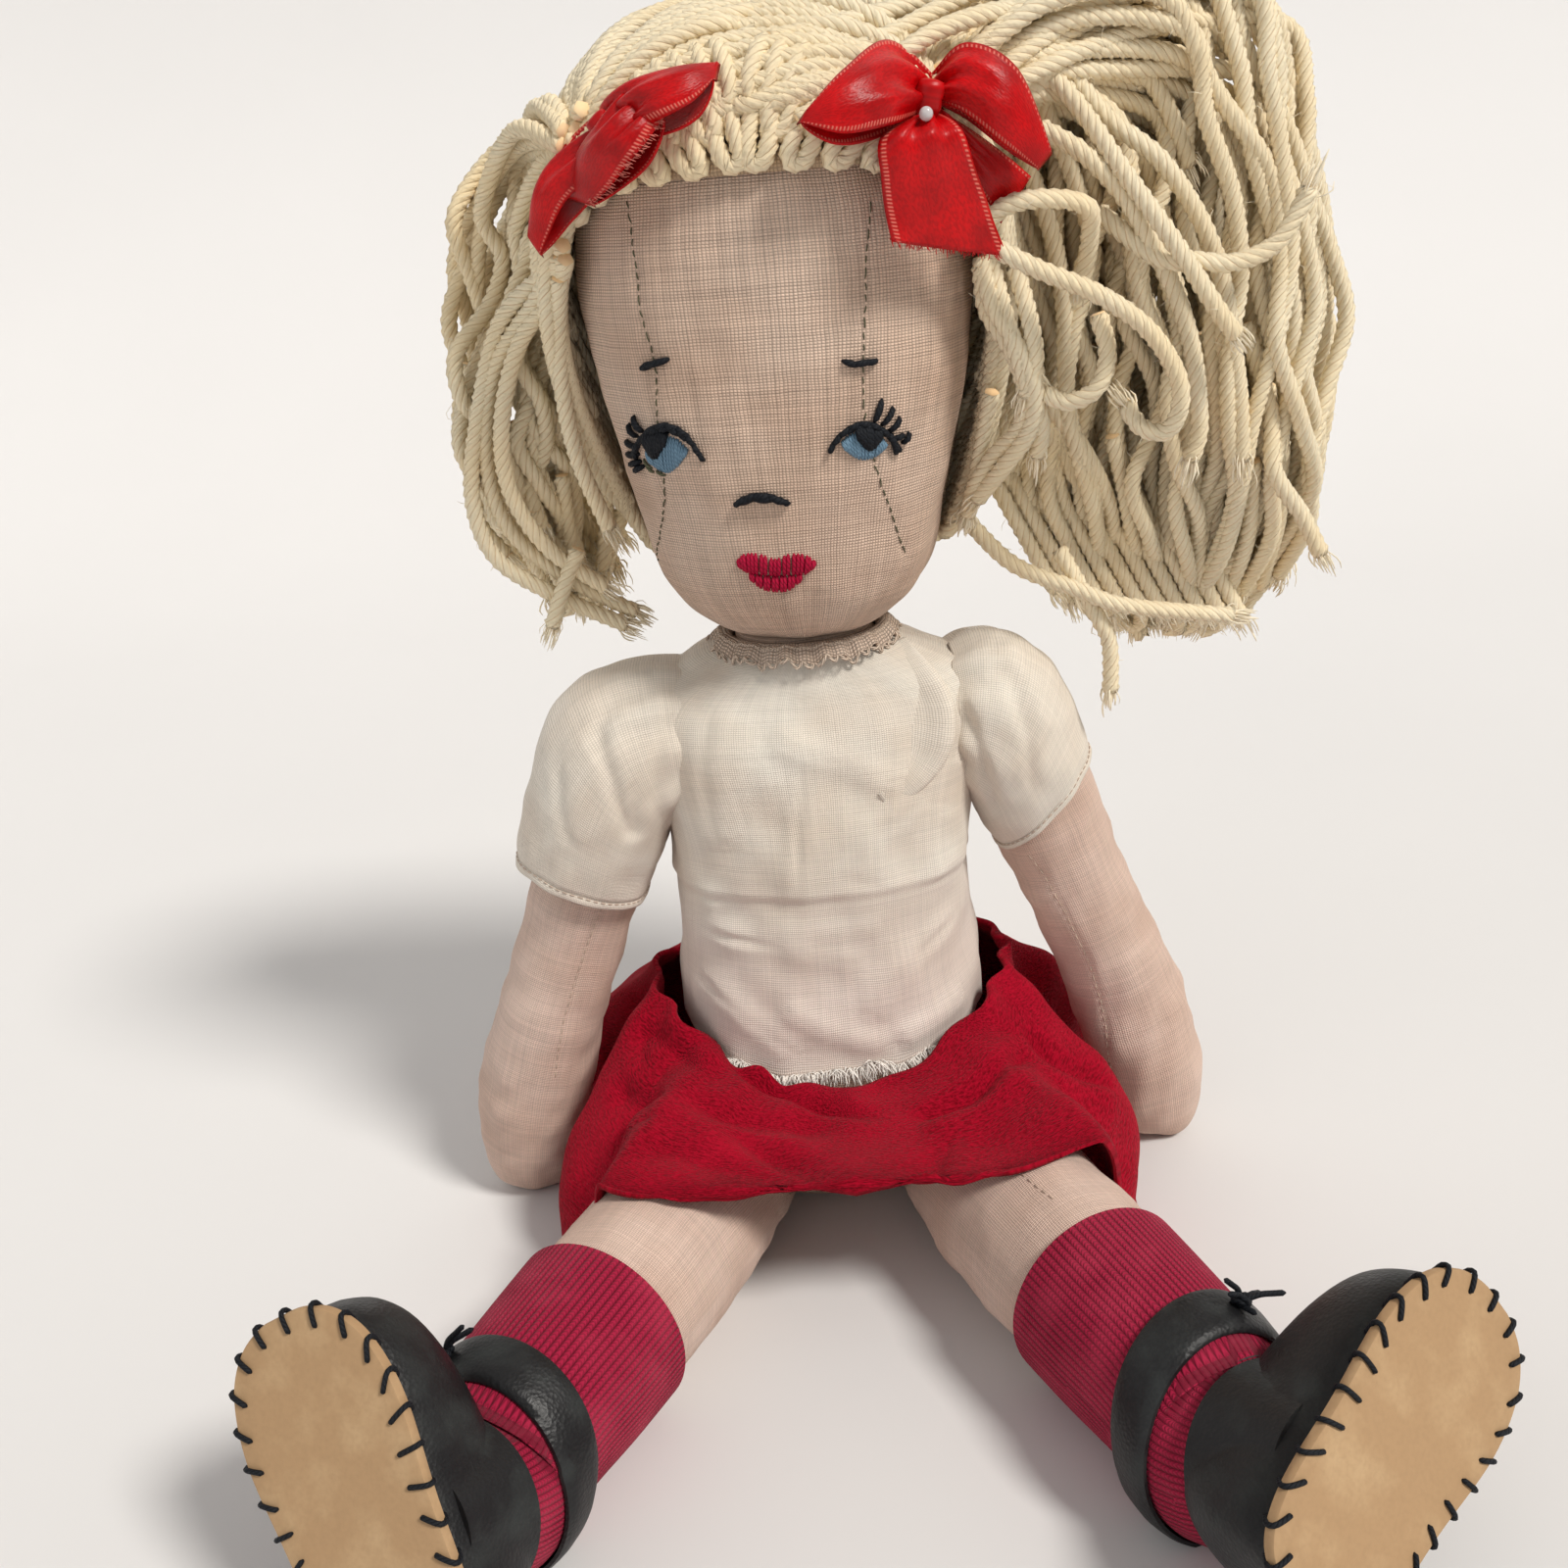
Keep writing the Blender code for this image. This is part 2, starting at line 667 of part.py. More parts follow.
SOCK_INNER = GAP
SOCK_OUTER = SOCK_INNER + SOCK_CLOTH
UPPER_INNER = SOCK_OUTER + GAP
UPPER_OUTER = UPPER_INNER + LEATHER
SOLE_INNER = UPPER_INNER


def leg_rings(side, grow):
    """Rings from the hip seam to inside the foot."""
    hip = hip_point(side)
    direction = leg_direction(side)
    middle = LEG_THICKNESS / 2 - FLOOR_CUT
    path = []
    for reach, rise, thick, wide in LEG_SHARES:
        height = hip.z + (middle - hip.z) * rise
        centre = Vector((hip.x, hip.y, height)) + direction * LEG_REACH * reach
        half_width = LEG_THICKNESS / 2 * wide + grow
        half_height = HIP_SEAM / 2 + (LEG_THICKNESS - HIP_SEAM) / 2 * thick + grow
        path.append((centre, half_width, half_height))
    toe, _, sole = foot_axes(side)
    half = LEG_THICKNESS / 2 * ANKLE_SHARE + grow
    path.append((ankle_point(side), half, half))
    inside = foot_origin(side) + toe * ANKLE_ALONG - sole * (FOOT_INSIDE - grow)
    half = FOOT_WIDTH / 2 * ANKLE_SHARE + grow
    path.append((inside, half, half))
    return path_rings(path, LIMB_SIDES, ROUND_POWER, Vector((0, 0, 1)))


def foot_layer(share, grow):
    """How far a layer round the foot moves its section along the sole and stands out at its sides."""
    middle = 2 * share - 1
    return grow * middle, grow * math.sqrt(1 - abs(middle) ** FOOT_END_POWER)


def foot_rings(side, grow):
    """Rings from the heel to the toe."""
    toe, outward, sole = foot_axes(side)
    origin = foot_origin(side)
    rings = []
    for share, wide, high in FOOT_SHARES:
        height = FOOT_HEIGHT * high
        further, thicker = foot_layer(share, grow)
        centre = origin + toe * (FOOT_LENGTH * share + further) - sole * (height / 2)
        half_width = FOOT_WIDTH / 2 * wide + thicker
        half_height = height / 2 + grow
        rings.append(super_ring(centre, outward, sole, half_width, half_height, LIMB_SIDES, FOOT_POWER))
    return rings


def leg_form(name, side, grow):
    """Leg and foot as one form, grown by a layer."""
    leg = solid(name, leg_rings(side, grow))
    return combine(leg, solid("foot", foot_rings(side, grow)), "UNION")


def make_leg(side):
    leg = leg_form(SIDE_NAMES[side] + "_leg", side, 0)
    combine(leg, torso_form("cutter", GAP), "DIFFERENCE")
    return finish(rest_on_floor(leg), "muslin")


def make_sock(side):
    name = SIDE_NAMES[side] + "_sock"
    sock = leg_form(name, side, SOCK_OUTER)
    combine(sock, leg_form("cutter", side, SOCK_INNER), "DIFFERENCE")
    top = hip_point(side) + leg_direction(side) * SOCK_REACH
    cut_flat(sock, top, -leg_direction(side))
    return finish(rest_on_floor(sock), "crimson_knit")


def throat_plane(side):
    """A point on the plane of the upper's top edge, and the direction away from the sole."""
    toe, _, sole = foot_axes(side)
    origin = foot_origin(side)
    heel = origin - sole * HEEL_TOP
    slope = (toe * THROAT_ALONG - sole * (THROAT_TOP - HEEL_TOP)).normalized()
    normal = -sole - slope * (-sole).dot(slope)
    return heel, normal.normalized()


def make_upper(side):
    name = SIDE_NAMES[side] + "_shoe_upper"
    toe, outward, sole = foot_axes(side)
    origin = foot_origin(side)
    upper = leg_form(name, side, UPPER_OUTER)
    combine(upper, leg_form("cutter", side, UPPER_INNER), "DIFFERENCE")
    cut_flat(upper, origin + sole * (SOLE_INNER - GAP), sole)
    point, normal = throat_plane(side)
    cut_flat(upper, point, normal)
    start = origin + toe * THROAT_ALONG - sole * THROAT_DEPTH
    rings = []
    for depth in (0, CUTTER_REACH):
        centre = start - sole * depth
        radius = THROAT_RADIUS
        rings.append(super_ring(centre, toe, outward, radius, radius, LIMB_SIDES, ROUND_POWER))
    combine(upper, solid("cutter", rings), "DIFFERENCE")
    return finish(rest_on_floor(upper), "black_leather")


def make_strap(side):
    """A bar round the ankle, laid on the sock."""
    toe, _, _ = foot_axes(side)
    up = ankle_direction(side)
    across = up.cross(toe).normalized()
    front = across.cross(up)
    ankle = leg_form("ankle", side, UPPER_INNER)
    inside = []
    outside = []
    for row in range(STRAP_ROWS):
        centre = strap_middle(side) + up * (STRAP_WIDTH * (row / (STRAP_ROWS - 1) - 1 / 2))
        inner = []
        for i in range(2 * LIMB_SIDES):
            turn = math.pi * i / LIMB_SIDES
            direction = across * math.cos(turn) + front * math.sin(turn)
            place, _ = surface_hit([ankle], centre, direction)
            inner.append(place + direction * STRAP_EASE)
        inside.append(inner)
        outside.append([place + (place - centre).normalized() * LEATHER for place in inner])
    bpy.data.objects.remove(ankle)
    strap = closed_ring(SIDE_NAMES[side] + "_shoe_strap", inside + outside[::-1])
    return finish(rest_on_floor(strap), "black_leather")


def make_sole(side):
    name = SIDE_NAMES[side] + "_shoe_sole"
    toe, outward, sole = foot_axes(side)
    origin = foot_origin(side)
    rings = []
    for depth in (SOLE_INNER, SOLE_INNER + SOLE_LEATHER):
        start = origin + sole * depth
        rings.append([start + toe * along + outward * across for along, across in sole_outline(side)])
    return finish(solid(name, rings), "tan_leather")


# Shirt, trim and skirt


def make_bodice():
    """The shirt's body, open at the neck, the hem and both armholes."""
    low = SHIRT_HEM / TORSO_HEIGHT
    rows = [row for row in TORSO_FINE_ROWS if low < row[0] < SHIRT_TOP_SHARE][::SHIRT_SKIP_COUNT]
    rows.insert(0, row_at(TORSO_FINE_ROWS, low))
    rings = []
    for i, row in enumerate(rows):
        ease = GAP + SHIRT_EASE * (1 - i / (len(rows) - 1))
        rings += upright_rings([row], TORSO_BASE, TORSO_SIZE, ease + GAP, TORSO_SIDES, TORSO_POWER)
    bodice = cloth("shirt_bodice", rings, SHIRT_CLOTH)
    for side in (LEFT, RIGHT):
        cut_flat(bodice, shoulder_point(side), shoulder_axis(side))
    return finish(bodice, "shirt_cotton")


def make_trim():
    """A lace band that lies round the neck on the shirt's edge."""
    low = SHIRT_TOP_SHARE * TORSO_HEIGHT + SHIRT_CLOTH + GAP
    _, wide, deep = row_at(TORSO_FINE_ROWS, SHIRT_TOP_SHARE)
    sections = []
    for out, height in ((0, 0), (0, TRIM_HEIGHT), (TRIM_WIDTH / 2, TRIM_HEIGHT), (TRIM_WIDTH, 0)):
        grow = GAP + out
        base = Vector((0, 0, low + height))
        half_width = TORSO_WIDTH / 2 * wide + grow
        half_depth = TORSO_DEPTH / 2 * deep + grow
        across = Vector((1, 0, 0))
        back = Vector((0, 1, 0))
        sections.append(super_ring(base, across, back, half_width, half_depth, TORSO_SIDES, TORSO_POWER))
    return finish(closed_ring("neck_trim", sections), "lace_cotton")


def ease_in(value, start, end):
    """From 0 at the start to 1 at the end, with a smooth rise between."""
    share = min(max((value - start) / (end - start), 0), 1)
    return share**2 * (3 - 2 * share)


def skirt_point(turn, drop):
    """A point of the skirt's inner side, round from +X and down from the waist."""
    cosine = math.cos(turn)
    sine = math.sin(turn)
    front = max(-sine, 0)
    waist = Vector((SKIRT_WAIST_WIDTH / 2 * cosine, SKIRT_WAIST_DEPTH / 2 * sine, 0))
    waist.z = SKIRT_WAIST_HEIGHT - SKIRT_WAIST_DIP * front**2
    reach = SKIRT_HEM_FRONT if sine < 0 else SKIRT_HEM_BACK
    x = SKIRT_HEM_WIDTH / 2 * math.copysign(abs(cosine) ** SKIRT_SQUARE_SHARE, cosine)
    y = reach * math.copysign(abs(sine) ** SKIRT_SQUARE_SHARE, sine)
    over = LEG_THICKNESS + SKIRT_REST
    height = SKIRT_FLOOR + (over - SKIRT_FLOOR) * ease_in(front, *SKIRT_LIFT_SHARES)
    point = waist.lerp(Vector((x, y, height)), drop)
    free = ease_in(abs(sine), 0, SKIRT_SIDE_SHARE)
    swell = free * SKIRT_BULGE * math.sin(math.pi * drop) - (1 - free) * SKIRT_SQUEEZE * drop
    ripple = SKIRT_FOLD * drop * math.cos(SKIRT_FOLD_COUNT * turn)
    return point + Vector((cosine, sine, 0)) * (swell + ripple)


def make_skirt():
    rows = []
    for step in range(SKIRT_ROWS):
        drop = step / (SKIRT_ROWS - 1)
        rows.append([skirt_point(2 * math.pi * i / SKIRT_SIDES, drop) for i in range(SKIRT_SIDES)])
    return finish(cloth("skirt", rows, SKIRT_CLOTH), "crimson_crepe")


# Hair and bows


def make_hair_cap():
    """Yarn stitched over the crown, sides and back of the head."""
    cap = head_form("hair_cap", HAIR_THICKNESS)
    combine(cap, head_form("cutter", GAP), "DIFFERENCE")
    top = HEAD_BASE.z + HEAD_HEIGHT * HAIRLINE_SHARE
    middle = (HEAD_BASE.z + top) / 2
    rings = []
    for y in (-CUTTER_REACH, -FACE_BACK):
        centre = Vector((0, y, middle - HEAD_HEIGHT / 2))
        half_height = top - centre.z
        across = Vector((1, 0, 0))
        up = Vector((0, 0, 1))
        half_width = FACE_OPENING / 2
        rings.append(super_ring(centre, across, up, half_width, half_height, HEAD_SIDES, HAIRLINE_POWER))
    combine(cap, solid("cutter", rings), "DIFFERENCE")
    cut_flat(cap, Vector((0, 0, HEAD_BASE.z + HEAD_HEIGHT * NAPE_SHARE)), Vector((0, 0, -1)))
    return finish(cap, "hair_yarn")


def make_bunch(side):
    """A bunch of yarn loops, broad where it leaves the head."""
    low, tall, width, depth = BUNCH_SIZES[side]
    rings = []
    for height, out, back, wide, deep in BUNCH_SHARES[side]:
        centre = Vector((side * width * out, depth * back, HEAD_BASE.z + low + tall * height))
        half_width = width / 2 * wide
        half_depth = depth / 2 * deep
        across = Vector((1, 0, 0))
        up = Vector((0, 1, 0))
        rings.append(super_ring(centre, across, up, half_width, half_depth, HAIR_SIDES, ROUND_POWER))
    bunch = solid(SIDE_NAMES[side] + "_hair_bunch", rings)
    combine(bunch, head_form("cutter", HAIR_THICKNESS + GAP), "DIFFERENCE")
    return finish(bunch, "hair_yarn")


def strip(name, points, across, widths, thickness):
    """A ribbon along the points, with its width along across."""
    rings = []
    for i, (point, width) in enumerate(zip(points, widths)):
        ahead = points[min(i + 1, len(points) - 1)] - points[max(i - 1, 0)]
        normal = ahead.cross(across).normalized() * (thickness / 2)
        half = across * (width / 2)
        front = [point + half + normal, point - half + normal]
        rings.append(front + [point - half - normal, point + half - normal])
    return solid(name, rings)


def bow_frame(side, cap):
    """The middle of a bow's knot, the way it faces, and the way its loops spread."""
    across_share, height_share, facing, spread = BOW_PLACES[side]
    facing = facing.normalized()
    spread = (spread - facing * spread.dot(facing)).normalized()
    aim = Vector((HEAD_WIDTH * across_share, 0, HEAD_BASE.z + HEAD_HEIGHT * height_share))
    seat, _ = surface_hit([cap], aim + facing * HEAD_WIDTH, -facing)
    return seat + facing * (GAP + BOW_KNOT), facing, spread


def ball(name, place, radius):
    bm = bmesh.new()
    bmesh.ops.create_icosphere(bm, subdivisions=BALL_STEPS, radius=radius)
    bm.transform(Matrix.Translation(place))
    return new_object(name, bm)


def clear_of(cap, point, facing):
    """The point, moved out where it would lie in the hair."""
    start = point + facing * HEAD_WIDTH
    tree = BVHTree.FromObject(cap, bpy.context.evaluated_depsgraph_get())
    place, _, _, distance = tree.ray_cast(start, -facing)
    room = GAP + RIBBON_CLOTH
    if place is None or distance > HEAD_WIDTH + room:
        return point
    return place + facing * room


def bow_loop(cap, knot, facing, spread):
    """A ribbon that leaves the knot, turns round and comes back to it."""
    points = []
    widths = []
    for step in range(BOW_STEPS):
        share = BOW_START_SHARE + (1 - 2 * BOW_START_SHARE) * step / (BOW_STEPS - 1)
        reach = math.sin(math.pi * share)
        lift = BOW_OPENING / 2 * math.sin(2 * math.pi * share) + BOW_LOOP * BOW_CURL_SHARE * reach**2
        points.append(clear_of(cap, knot + spread * (BOW_LOOP * reach), facing) + facing * lift)
        widths.append(RIBBON_WIDTH * (BOW_PINCH_SHARE + (1 - BOW_PINCH_SHARE) * reach))
    return strip("loop", points, facing.cross(spread).normalized(), widths, RIBBON_CLOTH)


def bow_tail(cap, knot, facing, way):
    """A ribbon's end that hangs from the knot."""
    points = []
    widths = []
    for step in range(TAIL_STEPS + 1):
        share = step / TAIL_STEPS
        points.append(clear_of(cap, knot + way * (BOW_TAIL * share), facing))
        widths.append(RIBBON_WIDTH * (BOW_PINCH_SHARE + (BOW_TAIL_SHARE - BOW_PINCH_SHARE) * share))
    return strip("tail", points, facing.cross(way).normalized(), widths, RIBBON_CLOTH)


def make_bow(side, frame, cap):
    """A ribbon bow on the hair: two loops, two tails and a knot, as one piece."""
    knot, facing, spread = frame
    down = facing.cross(spread).normalized()
    if down.z > 0:
        down = -down
    bow = ball(SIDE_NAMES[side] + "_bow", knot, BOW_KNOT)
    for way in (spread, -spread):
        combine(bow, bow_loop(cap, knot, facing, way), "UNION")
        lean = (down + way * BOW_TAIL_LEAN_SHARE).normalized()
        combine(bow, bow_tail(cap, knot, facing, lean), "UNION")
    combine(bow, head_form("cutter", HAIR_THICKNESS + GAP), "DIFFERENCE")
    return finish(bow, "red_satin")


def make_bow_pin(frame, bow):
    """The round head of the pin through the left bow's knot."""
    knot, facing, _ = frame
    seat, _ = surface_hit([bow], knot + facing * BOW_LOOP, -facing)
    return finish(ball("bow_pin", seat + facing * (GAP + BEAD_RADIUS), BEAD_RADIUS), "pearl")


# Face


def face_pad(head, name, material, middle, width, edges, layer=0):
    """Stitches laid on the face between two edges, which are functions from -1 to 1 across."""
    half_width = width / 2
    steps = max(round(width / STITCH_LENGTH), LEAST_STITCH_COUNT)
    rings = []
    for i in range(steps + 1):
        share = 2 * i / steps - 1
        x = middle[0] + half_width * share
        lower, upper = sorted(middle[1] + edge(share) for edge in edges)
        outer = []
        inner = []
        for z in (lower, (lower + upper) / 2, upper):
            seat, _ = surface_hit([head], Vector((x, -CUTTER_REACH, z)), Vector((0, 1, 0)))
            back = seat - Vector((0, GAP + layer * (GAP + THREAD), 0))
            inner.append(back)
            outer.append(back - Vector((0, THREAD, 0)))
        rings.append(outer + inner[::-1])
    return finish(solid(name, rings), material)


def oval(half_height):
    """Two edges that are widest apart in the middle and keep a little height at their ends."""
    def edge(way):
        return lambda share: way * half_height * math.sqrt(max(1 - share**2, OVAL_END_SHARE**2))
    return edge(1), edge(-1)


def arch(rise, thread):
    """The two edges of a thread that is laid in an arch, thinner at its ends."""
    def edge(way):
        return lambda share: rise * (1 - share**2) + way * thread / 2 * (1 - ARCH_TAPER_SHARE * share**2)
    return edge(1), edge(-1)


def upper_lip_edge(share):
    """The top of the upper lip, with its dip in the middle."""
    dip = LIP_DIP_SHARE * (1 - share**2) ** LIP_DIP_POWER
    corner = LIP_CORNER_SHARE * share**LIP_CORNER_POWER
    return LIP_GAP / 2 + UPPER_LIP_HEIGHT * (1 - corner - dip)


def make_face(head):
    """Eyes, brows, nose and mouth, stitched on the front of the head."""
    items = []
    low = HEAD_BASE.z
    for side in (LEFT, RIGHT):
        name = SIDE_NAMES[side]
        eye = (side * EYE_ACROSS, low + EYE_HEIGHT)
        brow = (side * EYE_ACROSS, low + BROW_HEIGHT)
        edges = oval(EYE_OPENING / 2)
        items.append(face_pad(head, name + "_iris", "blue_thread", eye, EYE_WIDTH, edges))
        edges = oval(PUPIL_OPENING / 2)
        items.append(face_pad(head, name + "_pupil", "black_thread", eye, PUPIL_WIDTH, edges, 1))
        edges = arch(LID_RISE, LID_THREAD)
        items.append(face_pad(head, name + "_lid", "black_thread", eye, LID_WIDTH, edges))
        edges = arch(BROW_RISE, LID_THREAD)
        items.append(face_pad(head, name + "_brow", "black_thread", brow, BROW_WIDTH, edges))
    nose = (0, low + NOSE_HEIGHT)
    mouth = (0, low + MOUTH_HEIGHT)
    edges = arch(NOSE_RISE, NOSE_THREAD)
    items.append(face_pad(head, "nose", "black_thread", nose, NOSE_WIDTH, edges))
    edges = (upper_lip_edge, lambda share: LIP_GAP / 2)
    items.append(face_pad(head, "upper_lip", "crimson_thread", mouth, MOUTH_WIDTH, edges))
    lowest = oval(LOWER_LIP_HEIGHT)[1]
    edges = (lambda share: -LIP_GAP / 2, lambda share: lowest(share) - LIP_GAP / 2)
    items.append(face_pad(head, "lower_lip", "crimson_thread", mouth, LOWER_LIP_WIDTH, edges))
    return items


def make_shoe_tie(side, strap):
    """A thread knot with two tails, on top of the ankle strap."""
    middle, up = strap_middle(side), ankle_direction(side)
    away = Vector((side * math.sin(TIE_TURN), 0, math.cos(TIE_TURN)))
    away = (away - up * away.dot(up)).normalized()
    seat, away = surface_hit([strap], middle + away * CUTTER_REACH, -away)
    place = seat + away * (GAP + TIE_KNOT)
    tie = ball(SIDE_NAMES[side] + "_shoe_tie", place, TIE_KNOT)
    along = up.cross(away)
    for way in (along, -along):
        end = (way + away * TIE_SPRING_SHARE).normalized()
        points = [place, place + end * (TIE_TAIL / 2), place + end * TIE_TAIL]
        combine(tie, strip("tail", points, up, [TIE_THREAD] * len(points), TIE_THREAD), "UNION")
    return finish(tie, "black_thread")


def keep_largest(item):
    """The item without the crumbs that a cut leaves beside its main piece."""
    bm = bmesh.new()
    bm.from_mesh(item.data)
    groups = []
    left = set(bm.faces)
    while left:
        group = {left.pop()}
        edge_faces = list(group)
        while edge_faces:
            face = edge_faces.pop()
            near = {other for edge in face.edges for other in edge.link_faces} & left
            left -= near
            group |= near
            edge_faces.extend(near)
        groups.append(group)
    groups.sort(key=lambda group: sum(face.calc_area() for face in group))
    for group in groups[:-1]:
        bmesh.ops.delete(bm, geom=list(group), context="FACES")
    bm.to_mesh(item.data)
    bm.free()


def finish(item, material):
    """The item with its material and smooth faces."""
    tidy(item)
    keep_largest(item)
    item.data.materials.clear()
    item.data.materials.append(MATERIALS[material])
    item.data.shade_smooth()
    item.data.set_sharp_from_angle(angle=SMOOTH_ANGLE)
    return item


def make_materials():
    for name, (colour, roughness) in COLOURS.items():
        material = bpy.data.materials.new(name)
        material.use_nodes = True
        shader = material.node_tree.nodes["Principled BSDF"]
        shader.inputs["Base Color"].default_value = colour
        shader.inputs["Roughness"].default_value = roughness
        MATERIALS[name] = material


def hang_on(place, name, items, turn=0):
    """An empty on a joint's axis that carries the items."""
    joint = bpy.data.objects.new(name, None)
    bpy.context.scene.collection.objects.link(joint)
    joint.location = place
    bpy.context.view_layer.update()
    for item in items:
        item.parent = joint
        item.matrix_parent_inverse = joint.matrix_world.inverted()
    joint.rotation_euler.z = turn


def clear_scene():
    for item in list(bpy.data.objects):
        bpy.data.objects.remove(item)


def main():
    clear_scene()
    make_materials()
    make_torso()
    make_bodice()
    make_trim()
    make_skirt()
    head = make_head()
    cap = make_hair_cap()
    head_items = [head, cap, *make_face(head)]
    for side in (LEFT, RIGHT):
        name = SIDE_NAMES[side]
        frame = bow_frame(side, cap)
        bow = make_bow(side, frame, cap)
        head_items += [make_bunch(side), bow]
        if side == LEFT:
            head_items.append(make_bow_pin(frame, bow))
        hang_on(shoulder_point(side), name + "_shoulder", [make_arm(side), make_sleeve(side)])
        strap = make_strap(side)
        feet = [make_leg(side), make_sock(side), make_upper(side), strap, make_sole(side)]
        feet.append(make_shoe_tie(side, strap))
        hang_on(hip_point(side), name + "_hip", feet)
    hang_on(Vector((0, 0, TORSO_HEIGHT)), "neck", head_items, HEAD_TURN)


main()
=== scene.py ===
"""Looks of a seated rag doll, built over its fixed frame. Metres, +Z up, and the doll faces -Y."""

import math

import bmesh
import bpy
import numpy as np
from mathutils import Matrix, Vector
from mathutils.bvhtree import BVHTree


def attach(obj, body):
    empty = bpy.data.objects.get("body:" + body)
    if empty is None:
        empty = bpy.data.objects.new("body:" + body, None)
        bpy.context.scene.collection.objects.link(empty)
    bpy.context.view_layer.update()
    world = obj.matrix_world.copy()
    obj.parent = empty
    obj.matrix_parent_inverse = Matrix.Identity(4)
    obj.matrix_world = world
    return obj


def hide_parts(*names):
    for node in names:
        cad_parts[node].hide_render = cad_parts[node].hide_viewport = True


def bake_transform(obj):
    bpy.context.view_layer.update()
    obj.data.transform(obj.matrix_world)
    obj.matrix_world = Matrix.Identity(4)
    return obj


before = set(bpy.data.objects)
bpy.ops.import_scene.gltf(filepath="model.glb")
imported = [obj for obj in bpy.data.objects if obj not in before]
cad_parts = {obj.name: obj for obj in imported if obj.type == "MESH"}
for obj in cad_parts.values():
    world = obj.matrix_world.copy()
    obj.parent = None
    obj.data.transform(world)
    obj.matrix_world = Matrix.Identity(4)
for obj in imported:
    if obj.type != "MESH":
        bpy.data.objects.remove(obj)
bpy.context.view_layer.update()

LEFT = 1
RIGHT = -1
SIDES = {LEFT: "left", RIGHT: "right"}
X = Vector((1, 0, 0))
Y = Vector((0, 1, 0))
Z = Vector((0, 0, 1))

# The doll's sizes, as in its frame
GAP = 0.0003
FLOOR_CUT = 0.0005
TORSO_SIZE = (0.0580, 0.0420, 0.1245)
TORSO_BASE = Vector((0, 0, -FLOOR_CUT))
TORSO_POWER = 2.3
TORSO_SHARES = (
    (0.000, 0.62, 0.62),
    (0.015, 0.80, 0.80),
    (0.060, 0.97, 0.97),
    (0.180, 1.05, 1.07),
    (0.360, 1.01, 1.05),
    (0.540, 0.95, 0.97),
    (0.700, 1.01, 0.95),
    (0.830, 1.19, 0.86),
    (0.895, 1.12, 0.74),
    (0.945, 0.76, 0.64),
    (0.975, 0.50, 0.60),
    (1.000, 0.45, 0.60),
)
HEAD_SIZE = (0.0700, 0.0600, 0.1040)
HEAD_BASE = Vector((0, 0, 0.1243))
HEAD_POWER = 2.25
HEAD_TURN = math.radians(-8)
HEAD_SHARES = (
    (0.000, 0.36, 0.40),
    (0.025, 0.50, 0.58),
    (0.080, 0.64, 0.76),
    (0.160, 0.75, 0.87),
    (0.280, 0.85, 0.95),
    (0.420, 0.94, 0.99),
    (0.560, 1.00, 1.00),
    (0.700, 1.00, 0.99),
    (0.820, 0.90, 0.91),
    (0.910, 0.72, 0.74),
    (0.970, 0.46, 0.48),
    (1.000, 0.16, 0.18),
)
SHOULDER = Vector((0.0324, 0, 0.1035))
ARM_DROP = 0.1040
ARM_SPREAD = 0.0360
ARM_THICKNESS = 0.0240
ARM_SHARES = (
    (-0.100, 0.060, 0.42),
    (-0.070, 0.120, 0.74),
    (0.010, 0.190, 0.92),
    (0.200, 0.360, 0.96),
    (0.420, 0.600, 0.90),
    (0.620, 0.820, 0.98),
    (0.780, 0.960, 1.00),
    (0.900, 1.030, 0.90),
    (0.970, 1.050, 0.66),
    (1.000, 1.055, 0.30),
)
HIP = Vector((0.0200, -0.0167, 0.0060))
HIP_SEAM = 0.0016
LEG_REACH = 0.0975
LEG_THICKNESS = 0.0330
LEG_SPLAY = {LEFT: math.radians(21), RIGHT: math.radians(28)}
LEG_SHARES = (
    (0.000, 0.00, 0.000, 0.60),
    (0.070, 0.26, 0.340, 0.72),
    (0.170, 0.70, 0.760, 0.88),
    (0.320, 0.98, 0.990, 1.00),
    (0.520, 1.00, 1.000, 1.00),
    (0.720, 1.00, 0.960, 0.95),
    (0.880, 1.00, 0.900, 0.88),
)
FOOT_LENGTH = 0.0490
FOOT_WIDTH = 0.0212
FOOT_HEIGHT = 0.0240
FOOT_POWER = 2.5
FOOT_END_POWER = 4
FOOT_TURN = {LEFT: math.radians(30), RIGHT: math.radians(22)}
FOOT_LEAN = math.radians(26)
FOOT_ROLL = {LEFT: math.radians(68), RIGHT: math.radians(32)}
FOOT_SHARES = (
    (0.000, 0.34, 0.34),
    (0.050, 0.68, 0.66),
    (0.180, 0.84, 0.94),
    (0.420, 0.88, 0.92),
    (0.680, 1.00, 0.74),
    (0.860, 0.88, 0.60),
    (0.960, 0.60, 0.46),
    (1.000, 0.26, 0.30),
)
ANKLE_ALONG = 0.0160
ANKLE_ABOVE = 0.0260
ANKLE_SHARE = 0.86
FOOT_INSIDE = 0.0070
SOCK_REACH = 0.0600
SOCK_OUTER = 0.0014
UPPER_INNER = 0.0017
UPPER_OUTER = 0.0029
SOLE_LEATHER = 0.0020
SOLE_MARGIN = 0.0012
HEEL_TOP = 0.0190
THROAT_ALONG = 0.0330
THROAT_TOP = 0.0180
THROAT_RADIUS = 0.0085
THROAT_DEPTH = 0.0080
STRAP_WIDTH = 0.0080
STRAP_RISE = 0.0045
SHIRT_HEM = 0.0415
SKIRT_WAIST = (0.0735, 0.0550, 0.0490, 0.0070)
SKIRT_HEM = (0.1200, 0.0590, 0.0420)
SKIRT_SAG = 0.0065
SKIRT_CORNER = 0.50
